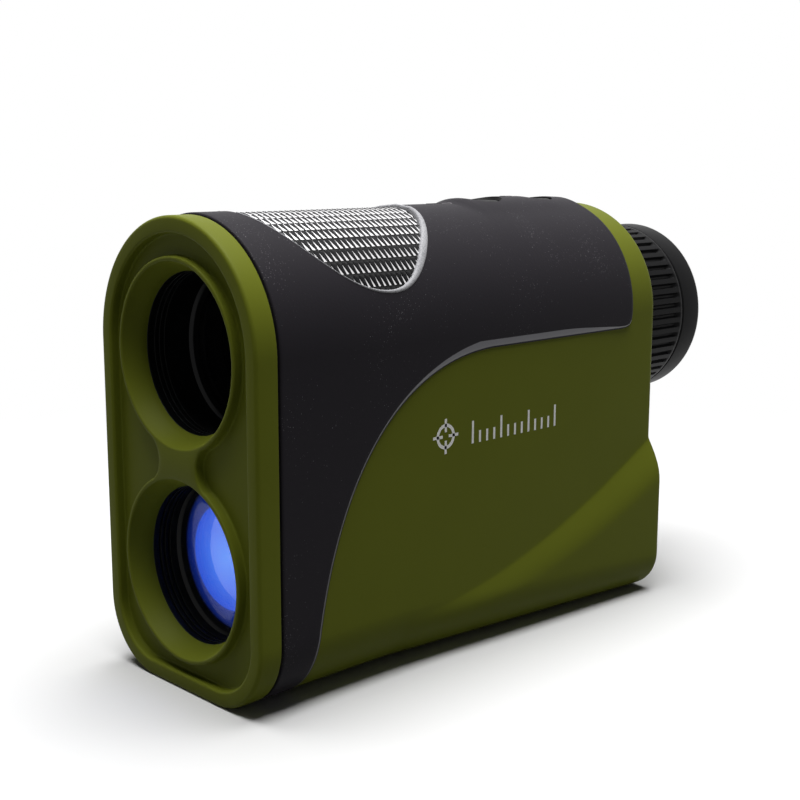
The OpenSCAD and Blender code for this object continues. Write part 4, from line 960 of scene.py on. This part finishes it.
class RANGEFINDER_OT_battery_door(bpy.types.Operator):
    """Battery door with its knuckle, catch and finger ridges"""
    bl_idname = "rangefinder.battery_door"
    bl_label = "Battery door"

    def execute(self, context):
        rear, soft = in_mm(context.scene.rangefinder_casing).long, 0.35
        loops = [(0, rear - DOOR_T), (0, rear - soft)]
        loops += [(-soft * t, rear - soft * s) for t, s in quarter(5)[1:]]
        rows = []
        for grow, y in loops:
            x, z = door_loop(grow, HINGE_Z + 0.01)
            rows.append(row_at(x, y, z))
        rows = np.stack(rows)
        plate = join([surface(rows, wrap_cols=True), fill(rows[0]), fill(rows[-1])])
        pin_r, half = 0.86, 11
        barrel = [(pin_r, -half, 0), (DOOR_T, -half, 0.25), (DOOR_T, half, 0.25), (pin_r, half, 0)]
        knuckle = turned(filleted(barrel), (0, rear - DOOR_T, HINGE_Z), "x", 48)
        parts = [plate, knuckle, slab((-4, rear - DOOR_T - 1.6, 24.1), (4, rear - DOOR_T + 0.05, 25.0))]
        turn = np.linspace(0, math.pi / 2, 6)
        for k in range(3):
            ends = [(0.5 * math.sin(a), -6 + 0.5 * (1 - math.cos(a))) for a in turn]
            profile = ends + [(r, -h) for r, h in ends[::-1]]
            parts.append(turned(profile, (0, rear - 0.1, 23.7 - 1.8 * k), "x", 24, closed=False))
        piece("battery_door_cap", join(parts), "door", "moulded_green_abs", ["battery_door"], sharp=35)
        return {"FINISHED"}


class RANGEFINDER_OT_printed_scale(bpy.types.Operator):
    """Plain printed scale on the right side: a ring with a cross and a row of ticks"""
    bl_idname = "rangefinder.printed_scale"
    bl_label = "Printed scale"

    def execute(self, context):
        c = in_mm(context.scene.rangefinder_casing)
        skin = c.half_w - c.step + 0.012
        shells = []
        plate = lambda y0, y1, z0, z1: slab((skin - 0.1, y0, z0), (skin, y1, z1))
        turn = np.linspace(0, 2 * math.pi, 64, endpoint=False)
        cy, cz = 38.6, 38.1
        ring = lambda r, x: np.stack([x + 0 * turn, cy + r * np.cos(turn), cz + r * np.sin(turn)],
                                     axis=-1)
        shells.append(surface(np.stack([ring(2.1, skin - 0.1), ring(2.1, skin), ring(1.55, skin),
                                        ring(1.55, skin - 0.1)]), wrap_rows=True, wrap_cols=True))
        near, far, thin = 0.7, 2.9, 0.24
        for y0, y1, z0, z1 in ((near, far, -thin, thin), (-far, -near, -thin, thin),
                               (-thin, thin, near, far), (-thin, thin, -far, -near)):
            shells.append(plate(cy + y0, cy + y1, cz + z0, cz + z1))
        for k in range(13):
            tall = 3.8 if k % 4 == 0 else 2.0
            y = 45.0 + 1.75 * k
            shells.append(plate(y - thin, y + thin, 36.0, 36.0 + tall))
        piece("side_scale", join(shells), "casing", "pad_printed_white")
        return {"FINISHED"}


# ---- finishes ------------------------------------------------------------------------------

def add(tree, kind, settings=None, values=None, links=None):
    """Adds a node: settings are its own fields, values its sockets' constants, links its inputs."""
    node = tree.nodes.new(kind)
    for key, value in (settings or {}).items():
        setattr(node, key, value)
    for key, value in (values or {}).items():
        node.inputs[key].default_value = value
    for key, source in (links or {}).items():
        tree.links.new(source, node.inputs[key])
    return node


def scaled(rgb, k):
    """A colour made k times as bright, with full alpha."""
    return (*[min(1.0, c * k) for c in rgb[:3]], 1.0)


def start_material(name, slot, sockets):
    """Empty material with a Principled surface whose constant sockets are set directly."""
    material = bpy.data.materials.new(name)
    material.use_nodes = True
    tree = material.node_tree
    tree.nodes.clear()
    surface_node = add(tree, "ShaderNodeBsdfPrincipled", values=sockets)
    add(tree, "ShaderNodeOutputMaterial", links={"Surface": surface_node.outputs[0]})
    PIECE_SLOTS[name] = slot
    return tree, surface_node, add(tree, "ShaderNodeTexCoord").outputs["Object"]


def grained(name, slot, rgb, rough, grain, bump, spread=0.12, metallic=0.0, flecks=None,
            specular=0.5, **sockets):
    """Skin with a grain of the given size in millimetres, raised by bump millimetres. A wide noise
    shades the colour by spread, and the grain moves the roughness a little. Flecks is
    (colour, share, size)."""
    constants = {"Metallic": metallic, "Specular IOR Level": specular, **sockets}
    tree, skin, place = start_material(name, slot, constants)
    fine = add(tree, "ShaderNodeTexNoise",
               values={"Scale": 1 / (grain * MM), "Detail": 3.0, "Roughness": 0.6},
               links={"Vector": place}).outputs["Fac"]
    wide = add(tree, "ShaderNodeTexNoise", values={"Scale": 1 / (14 * MM), "Detail": 2.0},
               links={"Vector": place}).outputs["Fac"]
    tint = add(tree, "ShaderNodeMix", {"data_type": "RGBA"},
               {6: scaled(rgb, 1 - spread), 7: scaled(rgb, 1 + spread)}, {0: wide}).outputs[2]
    if flecks:
        fleck_rgb, share, size = flecks
        dots = add(tree, "ShaderNodeTexNoise", values={"Scale": 1 / (size * MM), "Detail": 1.0},
                   links={"Vector": place})
        crowd = add(tree, "ShaderNodeMath", {"operation": "MULTIPLY_ADD"}, {1: 0.4, 2: -0.2}, {0: wide})
        both = add(tree, "ShaderNodeMath", {"operation": "ADD"},
                   links={0: dots.outputs["Fac"], 1: crowd.outputs[0]})
        pick = add(tree, "ShaderNodeMapRange", values={"From Min": 1 - share, "From Max": 1.02 - share},
                   links={"Value": both.outputs[0]})
        tint = add(tree, "ShaderNodeMix", {"data_type": "RGBA"}, {7: (*fleck_rgb, 1)},
                   {0: pick.outputs[0], 6: tint}).outputs[2]
    tree.links.new(tint, skin.inputs["Base Color"])
    matt = add(tree, "ShaderNodeMapRange", values={"To Min": rough - 0.06, "To Max": rough + 0.06},
               links={"Value": fine})
    tree.links.new(matt.outputs[0], skin.inputs["Roughness"])
    raised = add(tree, "ShaderNodeBump", values={"Strength": 1.0, "Distance": bump * MM},
                 links={"Height": fine})
    tree.links.new(raised.outputs[0], skin.inputs["Normal"])


def zoned_glass(name, slot, axis_z, stops, rough, glow=0.0, **sockets):
    """Coated glass whose colour runs with the distance from its axis: stops are (radius, hex).
    Glow is emission in the same zone colours: painted light, so that the glass shines though it is no
    lamp."""
    tree, skin, place = start_material(name, slot, {"Emission Strength": glow, **sockets})
    ramp_r = 13
    centred = add(tree, "ShaderNodeMapping",
                  values={"Location": (0, 0, -axis_z * MM), "Scale": (1, 0, 1)},
                  links={"Vector": place})
    reach = add(tree, "ShaderNodeVectorMath", {"operation": "LENGTH"},
                links={"Vector": centred.outputs[0]})
    share = add(tree, "ShaderNodeMapRange", values={"From Max": ramp_r * MM},
                links={"Value": reach.outputs["Value"]})
    ramp = add(tree, "ShaderNodeValToRGB", links={"Fac": share.outputs[0]})
    while len(ramp.color_ramp.elements) < len(stops):
        ramp.color_ramp.elements.new(0.5)
    for element, (radius, code) in zip(ramp.color_ramp.elements, stops):
        element.position = radius / ramp_r
    for element, (radius, code) in zip(ramp.color_ramp.elements, stops):
        element.color = (*linear(code), 1)
    tree.links.new(ramp.outputs["Color"], skin.inputs["Base Color"])
    if glow:
        tree.links.new(ramp.outputs["Color"], skin.inputs["Emission Color"])
    haze = add(tree, "ShaderNodeTexNoise", values={"Scale": 1 / (4 * MM)}, links={"Vector": place})
    soft = add(tree, "ShaderNodeMapRange", values={"To Min": rough, "To Max": rough + 0.02},
               links={"Value": haze.outputs["Fac"]})
    tree.links.new(soft.outputs[0], skin.inputs["Roughness"])


def make_finishes(k, f):
    """All materials. k holds the colours of the outer pieces, f the front plate's sizes."""
    # ABS moulded in a spark-eroded tool: a fine even matt grain, no gloss, hue a little uneven
    grained("moulded_green_abs", "green_plastic", k.green, 0.44, 0.45, 0.01, 0.05, specular=0.04)
    # thermoplastic elastomer over the casing: soft, nearly black, dust and light grains caught in it
    grained("moulded_grip_rubber", "grip_rubber", k.rubber, 0.5, 0.4, 0.02, 0.08,
            flecks=(linear("#6a686c"), 0.25, 0.22), specular=0.04)
    # where the cover's tool closes the rubber comes out smooth; the lighter grey of this bevel along the
    # cover's lower edge is a painted reflection of the floor
    grained("smooth_rubber_edge", "grip_rubber", linear("#504f57"), 0.34, 0.6, 0.004, 0.05)
    # the pad's pocket and the dishes round the buttons come off polished steel: smooth; their deep black
    # is painted shade in these hollows
    grained("smooth_pocket_rubber", "grip_rubber", linear("#121112"), 0.45, 0.6, 0.003, 0.05,
            specular=0.06)
    # the same rubber in grey, printed marks level with the panel
    grained("mark_grey_rubber", "grip_rubber", linear("#4d4a4d"), 0.5, 0.4, 0.01, 0.05, specular=0.2)
    # nitrile rubber, moulded and dusted: satin black with a soft sheen on its ribs
    grained("satin_eyecup_rubber", "eyecup_rubber", k.black, 0.4, 0.5, 0.008, 0.1, specular=0.05)
    # nitrile sealing rubber, cut from sheet
    grained("cut_nitrile_seal", "seal_rubber", linear("#101011"), 0.6, 0.5, 0.01)
    # silicone keypad rubber: smooth, slightly glossy black
    grained("button_silicone", "button_rubber", linear("#0c0c0d"), 0.45, 0.6, 0.006, specular=0.12)
    # foil stamped on the studs: bright, with the fine scatter of stamped metal; it sits on the forward
    # ramp faces only, and the other faces take painted shade
    grained("stamped_foil", "silver_pad", k.foil, 0.36, 0.5, 0.006, 0.06, 1.0)
    # the studs' two front side faces: the foil painted a dull grey as painted shade
    grained("stamped_foil_painted_shade", "silver_pad", linear("#4c4c4e"), 0.5, 0.5, 0.006, 0.1, specular=0.12)
    # black for the grooves, the floor and the tray between the studs; on the studs' far facets, which
    # face the crown and the rear, the same black is painted shade
    grained("pad_black_and_painted_shade", "silver_pad", linear("#0c0c0d"), 0.6, 0.5, 0.006, specular=0.1)
    # light ABS trim with a coarse spark-eroded grain
    grained("grained_light_abs", "light_rim", k.rim, 0.5, 0.5, 0.03, 0.12,
            flecks=(linear("#8c8c90"), 0.44, 0.25), specular=0.2)
    # glass-filled nylon, moulded: dull black
    grained("moulded_black_nylon", "black_plastic", linear("#1b1b1d"), 0.5, 0.5, 0.01)
    # white acetal plungers: waxy
    grained("white_acetal", "white_plastic", linear("#dcdcd6"), 0.35, 0.8, 0.004, 0.03)
    # aluminium, turned and black anodised: matt black
    grained("black_anodised_baffle", "black_aluminium", linear("#08090a"), 0.34, 0.5, 0.008,
            0.15, specular=0.1)
    # stainless steel, turned: bright, with a fine even grain
    grained("turned_stainless", "steel", linear("#a9abad"), 0.3, 0.4, 0.004, 0.06, 1.0)
    # nickel-plated spring steel
    grained("nickel_spring", "contact_metal", linear("#b5b2a6"), 0.26, 0.6, 0.003, 0.05, 1.0)
    # gold-plated can of a detector or a laser diode
    grained("gold_plated_can", "gold_can", linear("#d0a94e"), 0.24, 0.5, 0.002, 0.04, 1.0)
    # polyimide film with copper under it
    grained("polyimide_film", "flex_film", linear("#a8651c"), 0.3, 1.2, 0.003, 0.1)
    # shrunk sleeve of the battery
    grained("shrunk_cell_sleeve", "cell_jacket", linear("#c79a3a"), 0.28, 3.0, 0.01, 0.05)
    # shrunk sleeve of the capacitor
    grained("shrunk_capacitor_sleeve", "capacitor_sleeve", linear("#1c2748"), 0.28, 3.0, 0.01, 0.05)
    # moulded epoxy of the chips: fine matt black
    grained("chip_epoxy", "chip_plastic", linear("#191a1b"), 0.55, 0.3, 0.006)
    # solder mask over glass fibre board: even, slightly glossy green
    grained("solder_mask", "circuit_board", linear("#14532c"), 0.32, 0.5, 0.004, 0.12)
    # clear optical glass with a faint coating
    grained("polished_glass", "optical_glass", linear("#aebfca"), 0.06, 2.0, 0.0005, 0.02,
            **{"IOR": 1.52, "Transmission Weight": 0.8})
    # sealed display glass, nearly black
    grained("display_cell_glass", "display_glass", linear("#20262a"), 0.08, 2.0, 0.0005, 0.05,
            **{"IOR": 1.52})
    # printing ink on the casing, from a silicone pad
    grained("pad_printed_white", "green_plastic", k.print, 0.45, 0.45, 0.004, 0.02)
    # objective glass with a dark low-reflection coating; its near-black colour is painted shade for the
    # dark tube behind it, with a faintly lighter ring from 8.4 to 11.6 mm as a painted reflection and a
    # darker rim as painted shade
    zoned_glass("objective_glass_painted_shade", "coated_glass", f.upper_z,
                [(0, "#050608"), (8.0, "#050608"), (8.4, "#0a0b0f"), (11.6, "#07080b"),
                 (12.2, "#030304")], 0.03,
                **{"IOR": 1.52, "Specular IOR Level": 0.12})
    # ground and polished crown glass in front of the filter
    grained("clear_front_glass", "filter_glass", linear("#dfe8ff"), 0.02, 3.0, 0.0002, 0.01,
            specular=0.06, **{"IOR": 1.5, "Transmission Weight": 1.0})
    # blue band-pass filter glass, painted: a bright disc in the middle as a painted reflection of the
    # detector's backing, inside a deeper ring that falls to near black at the rim as painted shade, with
    # a weak glow of painted light
    zoned_glass("blue_filter_painted_light", "filter_glass", f.lower_z,
                [(0, "#3c9aff"), (5.0, "#1f74f4"), (8.2, "#1660ec"), (8.5, "#10308c"),
                 (11.2, "#0d2670"), (11.8, "#050c24")], 0.25, glow=0.45,
                **{"IOR": 1.52, "Specular IOR Level": 0.04})


class RANGEFINDER_OT_finishes(bpy.types.Operator):
    """Materials, and their places on the frame's own nodes"""
    bl_idname = "rangefinder.finishes"
    bl_label = "Finishes"

    def execute(self, context):
        make_finishes(context.scene.rangefinder_colours, in_mm(context.scene.rangefinder_front))
        by_slot = {}
        for name, slot in PIECE_SLOTS.items():
            by_slot.setdefault(slot, name)
        for subpart in frame["record"]["subparts"]:
            node = frame["nodes"][subpart["node"]]
            finish = bpy.data.materials[by_slot[subpart["material_slot"]]]
            for place in node.material_slots:
                place.material = finish
        return {"FINISHED"}


# ---- studio ----------------------------------------------------------------------------------

class RANGEFINDER_OT_studio(bpy.types.Operator):
    """Pale floor, soft light and camera"""
    bl_idname = "rangefinder.studio"
    bl_label = "Studio"

    def execute(self, context):
        scene = context.scene
        scene.view_settings.view_transform = "Standard"
        size = 6.0
        mesh = bpy.data.meshes.new("floor")
        corners = [(-size, -size, 0), (size, -size, 0), (size, size, 0), (-size, size, 0)]
        mesh.from_pydata(corners, [], [(0, 1, 2, 3)])
        floor = bpy.data.objects.new("floor", mesh)
        floor.location.z = -0.00005
        scene.collection.objects.link(floor)
        floor.data.materials.append(self.floor_paper())
        self.sky(scene)
        target = Vector((0, 0, 0.04))
        for name, spot, side, power in (
                ("top_softbox", (0.0, 0.0, 0.6), 0.5, 6.4),
                ("front_fill", (-0.35, -0.55, 0.12), 0.5, 0.04)):
            lamp = bpy.data.lights.new(name, "AREA")
            lamp.shape, lamp.size, lamp.energy = "SQUARE", side, power
            made = bpy.data.objects.new(name, lamp)
            made.location = spot
            made.rotation_euler = (target - Vector(spot)).to_track_quat("-Z", "Y").to_euler()
            scene.collection.objects.link(made)
        camera = bpy.data.cameras.new("camera")
        camera.sensor_width, camera.lens = 36, 60.19
        camera.clip_start, camera.clip_end = 0.01, 50
        made = bpy.data.objects.new("camera", camera)
        eye = Vector((0.16644, -0.17038, 0.08335))
        aim = Vector((0.00006, -0.01009, 0.04035))
        roll = Matrix.Rotation(math.radians(0.145), 3, "Z")
        turn = (aim - eye).to_track_quat("-Z", "Y").to_matrix() @ roll
        made.matrix_world = Matrix.Translation(eye) @ turn.to_4x4()
        scene.collection.objects.link(made)
        scene.camera = made
        return {"FINISHED"}

    def seen(self, tree):
        """1 for rays from the camera, from gloss and through glass, 0 for scattered light."""
        path = add(tree, "ShaderNodeLightPath")
        either = add(tree, "ShaderNodeMath", {"operation": "MAXIMUM"},
                     links={0: path.outputs["Is Camera Ray"], 1: path.outputs["Is Glossy Ray"]})
        return add(tree, "ShaderNodeMath", {"operation": "MAXIMUM"},
                   links={0: either.outputs[0], 1: path.outputs["Is Transmission Ray"]}).outputs[0]

    def floor_paper(self):
        """Matt paper sweep: white to the eye, a softer grey to the light it throws back. Away from
        the object it runs out into the white of the surroundings."""
        material = bpy.data.materials.new("matt_paper_sweep")
        material.use_nodes = True
        tree = material.node_tree
        tree.nodes.clear()
        seen = self.seen(tree)
        mix = add(tree, "ShaderNodeMix", {"data_type": "RGBA"},
                  {6: (0.2, 0.2, 0.2, 1), 7: (0.8, 0.8, 0.8, 1)}, {0: seen})
        near = add(tree, "ShaderNodeBsdfDiffuse", links={"Color": mix.outputs[2]})
        place = add(tree, "ShaderNodeTexCoord").outputs["Object"]
        reach = add(tree, "ShaderNodeVectorMath", {"operation": "LENGTH"}, links={"Vector": place})
        share = add(tree, "ShaderNodeMapRange", {"interpolation_type": "SMOOTHSTEP"},
                    {"From Min": 0.11, "From Max": 0.24}, {"Value": reach.outputs["Value"]})
        level = add(tree, "ShaderNodeMapRange", values={"To Min": 0.15, "To Max": 1.0},
                    links={"Value": seen})
        far = add(tree, "ShaderNodeEmission", links={"Strength": level.outputs[0]})
        paper = add(tree, "ShaderNodeMixShader",
                    links={"Fac": share.outputs[0], 1: near.outputs[0], 2: far.outputs[0]})
        add(tree, "ShaderNodeOutputMaterial", links={"Surface": paper.outputs[0]})
        return material

    def sky(self, scene):
        """White surroundings for the eye and for reflections, a low even light for the rest."""
        world = bpy.data.worlds.new("studio")
        scene.world = world
        world.use_nodes = True
        tree = world.node_tree
        tree.nodes.clear()
        level = add(tree, "ShaderNodeMapRange", values={"To Min": 0.03, "To Max": 1.0},
                    links={"Value": self.seen(tree)})
        glow = add(tree, "ShaderNodeBackground", values={"Color": (1, 1, 1, 1)},
                   links={"Strength": level.outputs[0]})
        add(tree, "ShaderNodeOutputWorld", links={"Surface": glow.outputs[0]})


# ---- sidebar, registration, run ------------------------------------------------------------------

class RANGEFINDER_PT_panel(bpy.types.Panel):
    """Lists the pieces and their sizes"""
    bl_label = "Laser rangefinder"
    bl_idname = "RANGEFINDER_PT_panel"
    bl_space_type = "VIEW_3D"
    bl_region_type = "UI"
    bl_category = "Rangefinder"

    def draw(self, context):
        for title, name in GROUPS:
            box = self.layout.box()
            box.label(text=title)
            group = getattr(context.scene, name)
            for prop in group.bl_rna.properties:
                if prop.identifier not in ("rna_type", "name"):
                    box.prop(group, prop.identifier)
        for operator in OPERATORS:
            self.layout.operator(operator.bl_idname)


OPERATORS = (
    RANGEFINDER_OT_finishes, RANGEFINDER_OT_front_plate, RANGEFINDER_OT_casing,
    RANGEFINDER_OT_grip_cover, RANGEFINDER_OT_finger_pad, RANGEFINDER_OT_windows,
    RANGEFINDER_OT_eyepiece, RANGEFINDER_OT_buttons, RANGEFINDER_OT_battery_door,
    RANGEFINDER_OT_printed_scale, RANGEFINDER_OT_studio,
)
GROUPS = (
    ("Casing", "rangefinder_casing"), ("Front plate", "rangefinder_front"),
    ("Cover and buttons", "rangefinder_cover"), ("Eyepiece", "rangefinder_eyepiece"),
    ("Colours", "rangefinder_colours"),
)
GROUP_CLASSES = (RangefinderCasing, RangefinderFront, RangefinderCover, RangefinderEyepiece,
                 RangefinderColours)


def register():
    for cls in GROUP_CLASSES + OPERATORS + (RANGEFINDER_PT_panel,):
        bpy.utils.register_class(cls)
    for (title, name), cls in zip(GROUPS, GROUP_CLASSES):
        setattr(bpy.types.Scene, name, bpy.props.PointerProperty(type=cls, name=title))


def unregister():
    for _, name in GROUPS:
        delattr(bpy.types.Scene, name)
    for cls in reversed(GROUP_CLASSES + OPERATORS + (RANGEFINDER_PT_panel,)):
        bpy.utils.unregister_class(cls)


def main():
    register()
    for operator in OPERATORS:
        group, name = operator.bl_idname.split(".")
        getattr(getattr(bpy.ops, group), name)()


if __name__ == "__main__":
    main()
